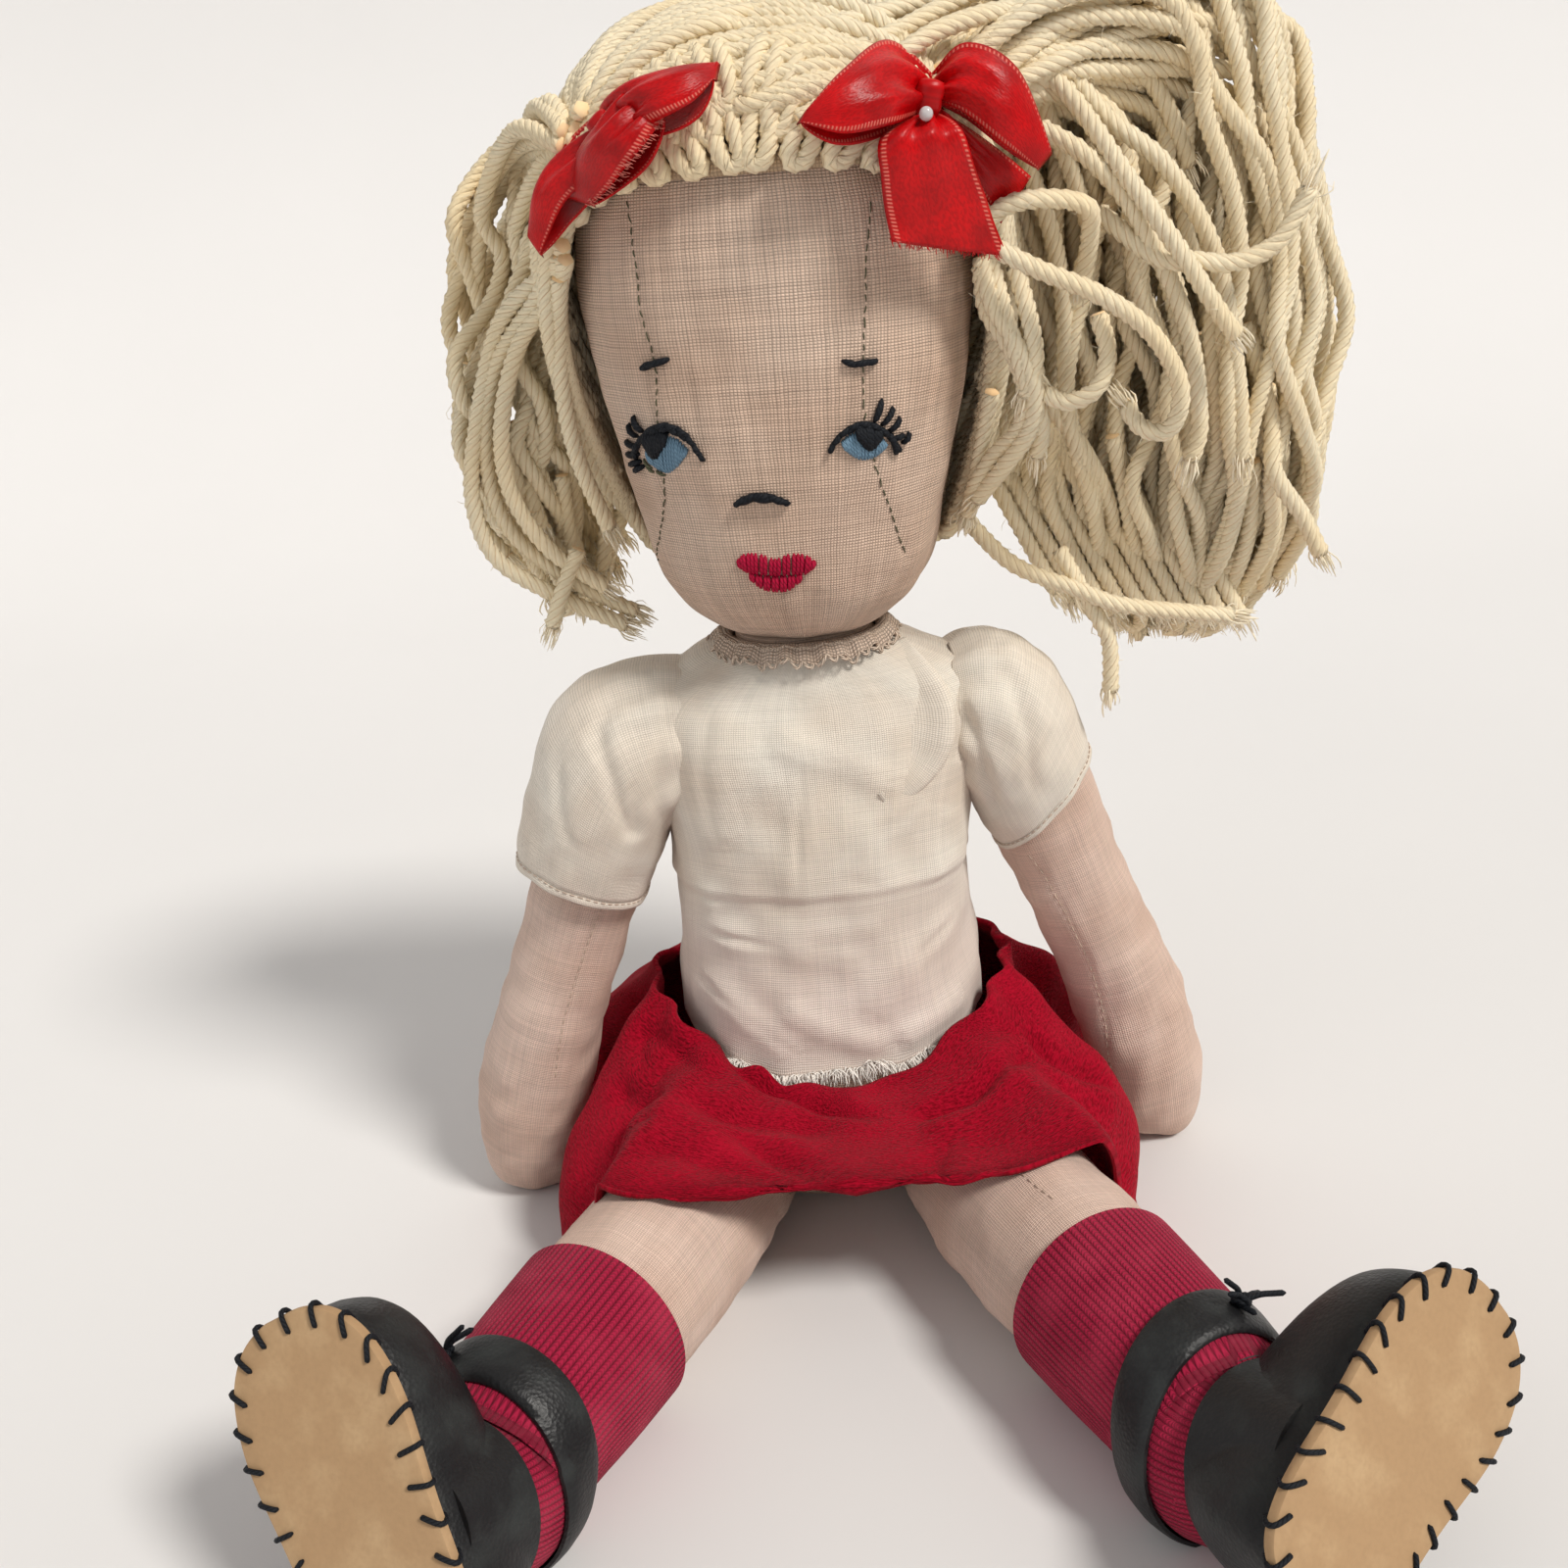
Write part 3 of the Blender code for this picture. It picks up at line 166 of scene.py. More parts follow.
# the cloth each piece was cut to: width and length, and its area where it isn't a rectangle
BODICE_CLOTH = (0.196, 0.081)
BODICE_AREA = 0.0140
SLEEVE_CLOTH = {RIGHT: (0.104, 0.040), LEFT: (0.100, 0.032)}
SKIRT_CLOTH = (0.400, 0.068)
SKIRT_AREA = 0.0215
BACKING_CLOTH = (0.115, 0.110)
BACKING_AREA = 0.0115
RIBBON_WIDTH = 0.015
RIBBON_LENGTH = {LEFT: 0.125, RIGHT: 0.115}
HAIR_THICKNESS = 0.0050
YARN_SIDES = 10
SHIRT_THICKNESS = 0.00045
SHIRT_SEAM = 0.0735
SKIRT_LIFT = 0.0012
SEAM_THREAD = 0.00013
RIBBON_STITCH = 0.0007
TIE_LEAN = math.radians(25)

# Camera, fitted to the photograph's frame of 1600 by 1600
IMAGE = 1600
FOCAL = 1600
CAMERA_PLACE = Vector((-0.0066, -0.297, 0.210))
CAMERA_TURN = Matrix.Rotation(math.radians(68), 4, "X") @ Matrix.Rotation(math.radians(-5), 4, "Z")


def linked(name, data):
    """An object for some data, in the scene."""
    item = bpy.data.objects.new(name, data)
    bpy.context.scene.collection.objects.link(item)
    return item


camera_data = bpy.data.cameras.new("camera")
camera_data.sensor_width = 36
camera_data.lens = 36 * FOCAL / IMAGE
camera_data.clip_start = 0.01
camera = linked("camera", camera_data)
camera.matrix_world = Matrix.Translation(CAMERA_PLACE) @ CAMERA_TURN
bpy.context.scene.camera = camera


def pixel_way(px, py):
    """The direction in which the camera sees a place of the photograph."""
    way = Vector(((px - IMAGE / 2) / FOCAL, (IMAGE / 2 - py) / FOCAL, -1))
    return (CAMERA_TURN.to_3x3() @ way).normalized()


def at(px, py, y):
    """The point seen at a pixel, at a distance y in millimetres from the doll's middle plane."""
    way = pixel_way(px, py)
    return CAMERA_PLACE + way * ((y / 1000 - CAMERA_PLACE.y) / way.y)


def seen(tree, px, py):
    """The point of a surface seen at a pixel or nearest to it, and the surface's direction there."""
    way = pixel_way(px, py)
    place, normal, _, _ = tree.ray_cast(CAMERA_PLACE, way)
    if place is None:
        reach = (HEAD_MIDDLE.z - CAMERA_PLACE.z) / way.z if abs(way.z) > 0.5 else 0.28
        place, normal, _, _ = tree.find_nearest(CAMERA_PLACE + way * reach)
    return place, normal


def traced(tree, pixels, step):
    """Places on a surface, one at every step, along a line of pixels."""
    return spline([seen(tree, *pixel)[0] for pixel in pixels], step)


# Geometry in rows of points


def unit(vectors):
    return vectors / (np.linalg.norm(vectors, axis=-1, keepdims=True) + 1e-12)


def reaches(points):
    """How far along a line each of its points lies, or each row of a grid on average."""
    steps = np.linalg.norm(np.diff(points, axis=0), axis=-1)
    return np.concatenate([[0], np.cumsum(steps.reshape(len(steps), -1).mean(1))])


def peak(distance, width):
    """A swell of height 1 that dies away over a width on both sides."""
    return np.exp(-((distance / width) ** 2))


def ease_in(value, low, high):
    share = np.clip((value - low) / (high - low), 0, 1)
    return share**2 * (3 - 2 * share)


def smooth_rows(rows, steps):
    """The rows of numbers joined by a smooth curve."""
    rows = np.array(rows, float)
    padded = np.vstack([rows[:1], rows, rows[-1:]])
    t = (np.arange(steps) / steps)[:, None]
    result = []
    for i in range(len(rows) - 1):
        a, b, c, d = padded[i : i + 4]
        result.append(
            a * (-t * (1 - t) ** 2 / 2)
            + b * ((2 - 5 * t**2 + 3 * t**3) / 2)
            + c * (t * (1 + 4 * t - 3 * t**2) / 2)
            + d * (-(t**2) * (1 - t) / 2)
        )
    return np.vstack(result + [rows[-1:]])


def ring(centre, across, up, half_width, half_height, sides, power):
    """Points round a rounded section, from across towards up."""
    turn = 2 * math.pi * np.arange(sides) / sides
    cosine, sine = np.cos(turn), np.sin(turn)
    x = half_width * np.sign(cosine) * np.abs(cosine) ** (2 / power)
    y = half_height * np.sign(sine) * np.abs(sine) ** (2 / power)
    return np.array(centre) + np.outer(x, across) + np.outer(y, up)


def upright(rows, base, size, grow, sides, power):
    """Level rings of a form that stands on base, from rows of height, width and depth shares."""
    width, depth, height = size
    rings = []
    for share, wide, deep in rows:
        centre = base + Z * (height * share + grow * (2 * share - 1))
        rings.append(ring(centre, X, Y, width / 2 * wide + grow, depth / 2 * deep + grow, sides, power))
    return np.array(rings)


def along_path(path, sides, power, hint):
    """Rings along a path of points, each with its half width and half height."""
    rings = []
    for i, (point, half_width, half_height) in enumerate(path):
        ahead = path[min(i + 1, len(path) - 1)][0] - path[max(i - 1, 0)][0]
        across = hint.cross(ahead).normalized()
        up = ahead.cross(across).normalized()
        rings.append(ring(point, across, up, half_width, half_height, sides, power))
    return np.array(rings)


def turned(grid, angle):
    """The points turned about the vertical through the neck."""
    spin = np.array(Matrix.Rotation(angle, 3, "Z"))
    return grid @ spin.T


def grid_normals(grid, around=True):
    du = np.roll(grid, -1, 1) - np.roll(grid, 1, 1) if around else np.gradient(grid, axis=1)
    return unit(np.cross(du, np.gradient(grid, axis=0)))


def waves(points, size, seed, count=14):
    """Smooth random lumps of about a size, from -1 to 1 or a little more."""
    rng = np.random.default_rng(seed)
    total = np.zeros(points.shape[:-1])
    for _ in range(count):
        way = rng.normal(size=3)
        way /= np.linalg.norm(way)
        length = size * rng.uniform(0.7, 1.6)
        total += np.sin(points @ way * 2 * math.pi / length + rng.uniform(0, 6.3))
    return total / math.sqrt(count)


def lumps(points, *layers):
    """Random lumps added up from layers of amount, size and seed."""
    return sum(amount * waves(points, size, seed) for amount, size, seed in layers)


def pushed(grid, amount):
    """The grid moved along its normals."""
    return grid + grid_normals(grid) * np.asarray(amount)[..., None]


def above(grid, height=0.0):
    """The grid with nothing lower than a height."""
    grid[..., 2] = np.maximum(grid[..., 2], height)
    return grid


def new_object(name, vertices, faces, uvs):
    """An object whose uvs, in metres along the cloth, are given for each face corner."""
    mesh = bpy.data.meshes.new(name)
    mesh.from_pydata(np.asarray(vertices, np.float32).tolist(), [], [list(face) for face in faces])
    mesh.uv_layers.new(name="UVMap").data.foreach_set("uv", np.asarray(uvs, np.float32).ravel())
    mesh.shade_smooth()
    mesh.update()
    return linked(name, mesh)


def from_bmesh(name, form):
    """An object from an edited mesh, which is freed."""
    mesh = bpy.data.meshes.new(name)
    form.to_mesh(mesh)
    form.free()
    mesh.shade_smooth()
    return linked(name, mesh)


def quad(r, c, columns):
    """The corners of a grid's face that starts at a row and column."""
    d = (c + 1) % columns
    return r * columns + c, r * columns + d, (r + 1) * columns + d, (r + 1) * columns + c


def surface(name, grid, around=True, caps=True, uv=None):
    """A mesh through rows of points, closed at its ends with caps."""
    grid = np.asarray(grid, float)
    rows, columns = grid.shape[:2]
    if uv is None:
        closed = np.concatenate([grid, grid[:, :1]], 1) if around else grid
        uv = np.stack(np.meshgrid(reaches(closed.swapaxes(0, 1)), reaches(grid)), -1)
    faces, corners = [], []
    for r in range(rows - 1):
        for c in range(columns if around else columns - 1):
            faces.append(quad(r, c, columns))
            corners += [uv[r, c], uv[r, c + 1], uv[r + 1, c + 1], uv[r + 1, c]]
    vertices = list(grid.reshape(-1, 3))
    if around and caps:
        for r, order in ((0, -1), (rows - 1, 1)):
            vertices.append(grid[r].mean(0))
            for c in range(columns):
                face = (r * columns + c, r * columns + (c + 1) % columns, len(vertices) - 1)
                faces.append(face[::order])
                corners += [uv[r, c], uv[r, c + 1], (uv[r, c] + uv[r, c + 1]) / 2][::order]
    return new_object(name, vertices, faces, corners)


def settle(item, kind, **settings):
    """The item with a modifier made part of its mesh."""
    modifier = item.modifiers.new(kind, kind)
    for key, value in settings.items():
        setattr(modifier, key, value)
    bpy.context.view_layer.update()
    shown = item.evaluated_get(bpy.context.evaluated_depsgraph_get())
    mesh = bpy.data.meshes.new_from_object(shown)
    item.modifiers.clear()
    item.data = mesh
    return item


def thicken(item, thickness, offset=-1):
    return settle(item, "SOLIDIFY", thickness=thickness, offset=offset)


def tree_of(item, keep=True):
    """The item's surface, to find places on."""
    tree = BVHTree.FromObject(item, bpy.context.evaluated_depsgraph_get())
    if not keep:
        bpy.data.objects.remove(item)
    return tree


def form_tree(grid):
    """The surface through a grid, to find places on."""
    return tree_of(surface("form", grid), keep=False)


def spline(points, step):
    """A smooth line through points with one at every step, and how far along it each of them lies."""
    points = np.array([tuple(p) for p in points], float)
    fine = smooth_rows(points, 12) if len(points) > 2 else points
    reach = reaches(fine)
    where = np.linspace(0, reach[-1], max(int(round(reach[-1] / step)), 3) + 1)
    return np.stack([np.interp(where, reach, fine[:, k]) for k in range(3)], 1), where


def tubes(name, paths, radius, sides=8, step=0.002, flare=1.0, taper=0.35, pitch=0.0):
    """Strands along paths as one mesh. A path is its points, or its points and its own radius.

    With a pitch, every second side lies deeper and all of them wind once round in a pitch, like plies.
    """
    vertices, quads, corners = [], [], []
    base = 0
    turn = 2 * math.pi * np.arange(sides) / sides
    c = np.arange(sides)
    d = (c + 1) % sides
    lobes = 1 - PLY_DEPTH * (c % 2) if pitch else np.ones(sides)
    cap = np.array([(0, k, k + 1, k + 2) for k in range(1, sides - 2, 2)])
    for path in paths:
        path, own = path if isinstance(path, tuple) else (path, radius)
        line, where = spline(path, step)
        rings = len(line)
        ahead = unit(np.gradient(line, axis=0))
        across = np.empty_like(line)
        side = np.cross(ahead[0], (0.31, 0.62, 0.72))
        for i in range(rings):
            side = side - ahead[i] * side.dot(ahead[i])
            side /= np.linalg.norm(side)
            across[i] = side
        up = np.cross(ahead, across)
        half = np.full(rings, own)
        half[[1, -2]] = own * flare
        half[[0, -1]] = own * taper
        wound = 2 * math.pi * where / pitch if pitch else np.zeros(rings)
        angle = turn[None] + wound[:, None]
        reach = half[:, None] * lobes[None]
        grid = line[:, None] + (reach * np.cos(angle))[..., None] * across[:, None]
        grid = grid + (reach * np.sin(angle))[..., None] * up[:, None]
        vertices.append(grid.reshape(-1, 3))
        row = (np.arange(rings - 1) * sides + base)[:, None]
        quads.append(np.stack([row + c, row + d, row + sides + d, row + sides + c], -1).reshape(-1, 4))
        u = np.broadcast_to(np.stack([c, c + 1, c + 1, c], -1) / sides, (rings - 1, sides, 4))
        v = np.stack([where[:-1], where[:-1], where[1:], where[1:]], -1)[:, None]
        corners.append(np.stack([u, np.broadcast_to(v, u.shape)], -1).reshape(-1, 2))
        quads += [base + cap[:, ::-1], base + (rings - 1) * sides + cap]
        corners.append(np.full((len(cap) * 8, 2), 0.5))
        base += rings * sides
    return new_object(name, np.concatenate(vertices), np.concatenate(quads), np.concatenate(corners))


def stitches(name, places, radius, sides=6):
    """Short threads from place to place, each lying in a low arch over a surface direction."""
    paths = []
    for start, end, normal in places:
        lift = normal * radius * 0.9
        middle = (start + end) / 2 + normal * radius * 1.5
        near = start.lerp(end, 0.15) + lift
        far = start.lerp(end, 0.85) + lift
        paths.append([start - normal * radius * 0.4, near, middle, far, end - normal * radius * 0.4])
    return tubes(name, paths, radius, sides, radius * 1.6, 0.85, 0.4)


def stitch_on(tree, first, second):
    """A stitch's ends on a surface near two places, and the surface's direction there."""
    place, normal, _, _ = tree.find_nearest(Vector(first))
    return place, tree.find_nearest(Vector(second))[0], normal


def creased(grid, folds, tree=None):
    """Offsets on the side that faces the camera, for folds: each a line of pixels, a depth and a width."""
    if tree is None:
        tree = form_tree(grid)
    total = np.zeros(grid.shape[:2])
    front = grid[..., 1] < 0.004
    flat = grid[front]
    for pixels, depth, width in folds:
        line, where = traced(tree, pixels, 0.0012)
        apart = np.linalg.norm(flat[:, None] - line[None], axis=2)
        fade = np.clip(np.sin(np.pi * (where / where[-1])) * 2.5, 0, 1)[apart.argmin(1)]
        apart = apart.min(1)
        total[front] += depth * fade * (0.55 * peak(apart, width * 2.4) - peak(apart, width))
    return total


# Materials: helpers that add to a material's nodes, then kinds of cloth, thread and leather


def node(tree, kind, *inputs, out=0, **settings):
    made = tree.nodes.new("ShaderNode" + kind)
    for key, value in settings.items():
        setattr(made, key, value)
    for socket, value in zip(made.inputs, inputs):
        if isinstance(value, bpy.types.NodeSocket):
            tree.links.new(value, socket)
        elif value is not None:
            socket.default_value = value
    return made.outputs[out]


def calc(tree, operation, a, b=None, c=None):
    return node(tree, "Math", a, b, c, operation=operation)


def scaled(tree, vector, amounts):
    return node(tree, "VectorMath", vector, amounts, operation="MULTIPLY")


def noisy(tree, vector, scale, detail=2.0):
    return node(tree, "TexNoise", vector, None, scale, detail)


def ranged(tree, value, low, high, to_low, to_high):
    return node(tree, "MapRange", value, low, high, to_low, to_high)


def tint(tree, factor, a, b, blend="MIX"):
    made = tree.nodes.new("ShaderNodeMix")
    made.data_type = "RGBA"
    made.blend_type = blend
    made.clamp_factor = True
    for index, value in ((0, factor), (6, a), (7, b)):
        if isinstance(value, bpy.types.NodeSocket):
            tree.links.new(value, made.inputs[index])
        else:
            made.inputs[index].default_value = value if index == 0 else (*value[:3], 1)
    return made.outputs[2]


def split(tree, vector):
    """The parts of a vector along its axes."""
    parts = tree.nodes.new("ShaderNodeSeparateXYZ")
    tree.links.new(vector, parts.inputs[0])
    return parts.outputs


def ridged(tree, value, rate, power=None, wave="SINE"):
    """Rounded ridges from 0 to 1 across a value, where rate counts those in one unit."""
    ridge = calc(tree, "ABSOLUTE", calc(tree, wave, calc(tree, "MULTIPLY", value, math.pi * rate)))
    return calc(tree, "POWER", ridge, power) if power else ridge


def paler(colour, times, more=0.0):
    return [min(c * times + more, 1) for c in colour]


def start(name, **constants):
    """A material whose shader has constants such as sheen on its own sockets."""
    material = bpy.data.materials.new(name)
    material.use_nodes = True
    tree = material.node_tree
    shader = tree.nodes["Principled BSDF"]
    for key, value in constants.items():
        shader.inputs[key.replace("_", " ")].default_value = value
    return material, tree, shader


def wire(tree, shader, colour, height=None, distance=0.0001, strength=1.0, roughness=None):
    tree.links.new(colour, shader.inputs["Base Color"])
    if roughness is not None:
        tree.links.new(roughness, shader.inputs["Roughness"])
    if height is not None:
        bump = tree.nodes.new("ShaderNodeBump")
        bump.inputs["Strength"].default_value = strength
        bump.inputs["Distance"].default_value = distance
        tree.links.new(height, bump.inputs["Height"])
        tree.links.new(bump.outputs["Normal"], shader.inputs["Normal"])


def plain(name, colour, **constants):
    """Fine loose thread, too thin for a relief of its own."""
    material, tree, shader = start(name, **constants)
    tone = noisy(tree, node(tree, "TexCoord", out=3), 400.0, 1.0)
    wire(tree, shader, tint(tree, ranged(tree, tone, 0.3, 0.7, 0.0, 1.0), paler(colour, 0.86), colour))
    return material


def woven(name, colour, pitch, groove=0.30, streak=0.10, stain=0.10, distance=0.00012, low=None, **constants):
    """Plain weave: crossing threads at a pitch, uneven in thickness and colour, which turns to low below."""
    material, tree, shader = start(name, **constants)
    uv = node(tree, "UVMap")
    wander = scaled(tree, noisy(tree, uv, 160.0), (0.0006, 0.0006, 0))
    parts = split(tree, node(tree, "VectorMath", uv, wander, operation="ADD"))
    cell = calc(tree, "MULTIPLY", *(ridged(tree, parts[k], 1 / pitch, 0.7) for k in range(2)))
    along = noisy(tree, scaled(tree, uv, (0.9 / pitch, 30, 0)), 1.0, 1.0)
    across = noisy(tree, scaled(tree, uv, (30, 0.9 / pitch, 0)), 1.0, 1.0)
    slub = calc(tree, "ADD", calc(tree, "ADD", along, across), -1.0)
    patch = noisy(tree, uv, 45.0, 3.0)
    shade = calc(tree, "MULTIPLY_ADD", slub, streak * 3, 1.0)
    # the darkening between the threads is painted shade in the gaps; the slub streaks and stain patches are the
    # cloth's own
    shade = calc(tree, "MULTIPLY", shade, ranged(tree, cell, 0.0, 0.8, 1 - groove, 1.0))
    shade = calc(tree, "MULTIPLY", shade, ranged(tree, patch, 0.3, 0.75, 1.0, 1 - stain))
    whole = node(tree, "CombineColor", shade, shade, shade)
    pinker = [c * f for c, f in zip(colour, (0.98, 0.86, 0.78))]
    base = tint(tree, ranged(tree, patch, 0.35, 0.8, 0.0, 0.8), colour, pinker)
    if low is not None:
        height = split(tree, node(tree, "TexCoord", out=3))[2]
        cloud = calc(tree, "MULTIPLY_ADD", noisy(tree, uv, 70.0, 3.0), 0.024, height)
        base = tint(tree, ranged(tree, cloud, 0.090, 0.066, 0.0, 0.6), base, low)
    relief = calc(tree, "MULTIPLY_ADD", slub, 0.5, cell)
    wire(tree, shader, tint(tree, 1.0, base, whole, "MULTIPLY"), relief, distance)
    return material


def twisted(name, colour, deep, lay, distance=0.0001, **constants):
    """Thread: plies wound round a strand whose u runs round it and v along it."""
    material, tree, shader = start(name, **constants)
    parts = split(tree, node(tree, "UVMap"))
    turn = calc(tree, "MULTIPLY_ADD", parts[1], 1 / lay, calc(tree, "MULTIPLY", parts[0], 3))
    ply = ridged(tree, turn, 1, 0.6)
    where = node(tree, "TexCoord", out=3)
    fibre = noisy(tree, scaled(tree, where, (1, 1, 1)), 2600.0, 1.0)
    tone = noisy(tree, where, 90.0, 2.0)
    # the deep colour between the plies is painted shade in the thread's grooves
    base = tint(tree, ranged(tree, ply, 0.05, 0.75, 0.0, 1.0), deep, colour)
    base = tint(tree, ranged(tree, tone, 0.35, 0.7, 0.0, 0.5), base, paler(colour, 1.12))
    wire(tree, shader, base, calc(tree, "MULTIPLY_ADD", fibre, 0.35, ply), distance)
    return material


def grained(name, colour, worn, grain, distance, rough=(0.35, 0.6), wear=0.35, **constants):
    """Leather: fine cells, uneven gloss and paler worn places."""
    material, tree, shader = start(name, **constants)
    where = node(tree, "TexCoord", out=3)
    cells = node(tree, "TexVoronoi", where, None, grain)
    cloud = noisy(tree, where, 120.0, 4.0)
    fine = noisy(tree, where, grain * 1.7, 2.0)
    base = tint(tree, ranged(tree, cloud, 0.48, 0.75, 0.0, wear), colour, worn)
    base = tint(tree, ranged(tree, fine, 0.4, 0.7, 0.0, 0.25), base, paler(colour, 0.8))
    relief = calc(tree, "MULTIPLY_ADD", fine, 0.5, cells)
    wire(tree, shader, base, relief, distance, 0.6, ranged(tree, cloud, 0.3, 0.7, *rough))
    return material


def crepe(name, colour, deep, **constants):
    """Pebbly crepe: short broken cords that run across the cloth."""
    material, tree, shader = start(name, **constants)
    uv = node(tree, "UVMap")
    cord = noisy(tree, scaled(tree, uv, (700, 2400, 1)), 1.0, 1.0)
    pebble = noisy(tree, scaled(tree, uv, (1500, 2200, 1)), 1.0, 1.0)
    relief = calc(tree, "MULTIPLY_ADD", cord, 1.2, calc(tree, "MULTIPLY", pebble, 0.8))
    # the deep colour in the low parts of the relief is painted shade
    base = tint(tree, ranged(tree, relief, 0.75, 1.15, 0.0, 1.0), deep, colour)
    tone = ranged(tree, noisy(tree, uv, 50.0, 3.0), 0.45, 0.75, 0.0, 0.5)
    wire(tree, shader, tint(tree, tone, base, paler(colour, 1.25, 0.004)), relief, 0.0004)
    return material


def knit(name, colour, deep, pitch, **constants):
    """Stockinette: columns of stitches that lean in pairs."""
    material, tree, shader = start(name, **constants)
    uv = node(tree, "UVMap")
    parts = split(tree, uv)
    wale = ridged(tree, parts[0], 1 / pitch)
    lean = calc(tree, "MULTIPLY_ADD", wale, 0.9, calc(tree, "MULTIPLY", parts[1], 1 / (pitch * 0.75)))
    loop = calc(tree, "MULTIPLY_ADD", ridged(tree, lean, 1), 0.5, 0.5)
    stitch = calc(tree, "MULTIPLY", calc(tree, "POWER", wale, 0.7), loop)
    # the deep colour between the stitches is painted shade
    base = tint(tree, ranged(tree, stitch, 0.1, 0.8, 0.0, 1.0), deep, colour)
    tone = ranged(tree, noisy(tree, uv, 90.0, 3.0), 0.45, 0.7, 0.0, 0.4)
    wire(tree, shader, tint(tree, tone, base, paler(colour, 1.35, 0.03)), stitch, 0.0003)
    return material


def spun(name, colour, deep, warm, plies, **constants):
    """Soft yarn whose plies follow the sides of its strands: u runs round it and v along it."""
    material, tree, shader = start(name, **constants)
    uv = node(tree, "UVMap")
    ply = ridged(tree, split(tree, uv)[0], plies, 0.45, "COSINE")
    fibre = noisy(tree, scaled(tree, uv, (70, 420, 0)), 1.0, 2.0)
    tone = noisy(tree, node(tree, "TexCoord", out=3), 45.0, 3.0)
    # the deep colour between the plies is painted shade, warm like the yarn in shade; the warm patches are a
    # random tone
    base = tint(tree, ranged(tree, ply, 0.05, 0.60, 0.0, 1.0), deep, colour)
    base = tint(tree, ranged(tree, tone, 0.42, 0.68, 0.0, 0.6), base, warm)
    base = tint(tree, ranged(tree, fibre, 0.35, 0.75, 0.0, 0.3), base, paler(colour, 1.15))
    wire(tree, shader, base, calc(tree, "MULTIPLY_ADD", fibre, 0.6, ply), 0.00030)
    return material


def satin(name, colour, edge, **constants):
    """Satin ribbon: u runs from 0 to 1 across it between pale stitched edges, v along it in metres."""
    material, tree, shader = start(name, **constants)
    uv = node(tree, "UVMap")
    parts = split(tree, uv)
    middle = calc(tree, "ABSOLUTE", calc(tree, "SUBTRACT", parts[0], 0.5))
    rise, fall = ranged(tree, middle, 0.42, 0.435, 0.0, 1.0), ranged(tree, middle, 0.465, 0.48, 1.0, 0.0)
    dash = calc(tree, "SINE", calc(tree, "MULTIPLY", parts[1], 2 * math.pi / RIBBON_STITCH))
    band = calc(tree, "MULTIPLY", rise, fall)
    band = calc(tree, "MULTIPLY", band, ranged(tree, dash, -0.2, 0.6, 0.05, 0.8))
    metres = scaled(tree, uv, (RIBBON_WIDTH / 0.00045, 1 / 0.00090, 0))
    cells = noisy(tree, metres, 1.0, 1.0)
    tone = noisy(tree, node(tree, "TexCoord", out=3), 150.0, 2.0)
    base = tint(tree, ranged(tree, tone, 0.35, 0.7, 0.0, 1.0), colour, paler(colour, 0.62))
    # darker colour in the low weave cells is painted shade
    base = tint(tree, ranged(tree, cells, 0.38, 0.58, 0.35, 0.0), base, paler(colour, 0.3))
    relief = calc(tree, "MULTIPLY_ADD", cells, 1.0, calc(tree, "MULTIPLY", band, 1.5))
    wire(tree, shader, tint(tree, band, base, edge), relief, 0.00007)
    return material


def surface_of(roughness, shine, sheen=0.0, **more):
    """The shader's constants for a surface."""
    return dict(Roughness=roughness, Specular_IOR_Level=shine, Sheen_Weight=sheen, **more)


MATT = surface_of(0.9, 0.1)
SOFT = surface_of(0.9, 0.15, 0.05)
FRAYED = surface_of(0.6, 0.2)
# in each woven cloth, the amount after the pitch is painted shade between its threads
MUSLIN = woven("muslin_weave", (0.86, 0.655, 0.52), 0.00050, 0.44, 0.17, 0.18, 0.00020, **SOFT)
LIMB = woven("limb_muslin", (0.86, 0.66, 0.56), 0.00040, 0.30, 0.10, 0.18, 0.00012, **SOFT)
SHIRT = woven(
    "shirt_weave", (0.93, 0.865, 0.76), 0.00040, 0.26, 0.07, 0.12, 0.00010, (0.90, 0.755, 0.69),
    **surface_of(0.60, 0.3, 0.10),
)
# the second colour of each twisted thread is painted shade between its plies
LACE = twisted("lace_thread", (0.70, 0.57, 0.46), (0.46, 0.34, 0.26), 0.0012, 0.0003, **MATT)
CROCHET = woven("crochet_lace", (0.76, 0.62, 0.51), 0.00062, 0.50, 0.12, 0.15, 0.0003, **MATT)
# the crepe's second colour is painted shade in its low parts
CREPE = crepe(
    "crimson_crepe_cloth", (0.37, 0.002, 0.018), (0.19, 0.0005, 0.007), **surface_of(0.9, 0.08, 0.03)
)
# the stocking's second colour is painted shade between its stitches
KNIT = knit(
    "crimson_stocking", (0.38, 0.012, 0.050), (0.13, 0.002, 0.014), 0.00105, **surface_of(0.85, 0.15, 0.05)
)
LEATHER = grained(
    "black_shoe_leather", (0.010, 0.010, 0.011), (0.046, 0.054, 0.052), 1500.0, 0.00012, wear=0.6,
    Specular_IOR_Level=0.35,
)
SOLE = grained(
    "tan_sole_leather", (0.44, 0.28, 0.15), (0.54, 0.37, 0.21), 700.0, 0.00006, (0.65, 0.85), 0.9,
    Specular_IOR_Level=0.2,
)
PEARL = grained(
    "pearl_bead", (0.58, 0.54, 0.54), (0.72, 0.64, 0.62), 300.0, 0.00001, (0.1, 0.2), 0.5, Coat_Weight=0.6,
)
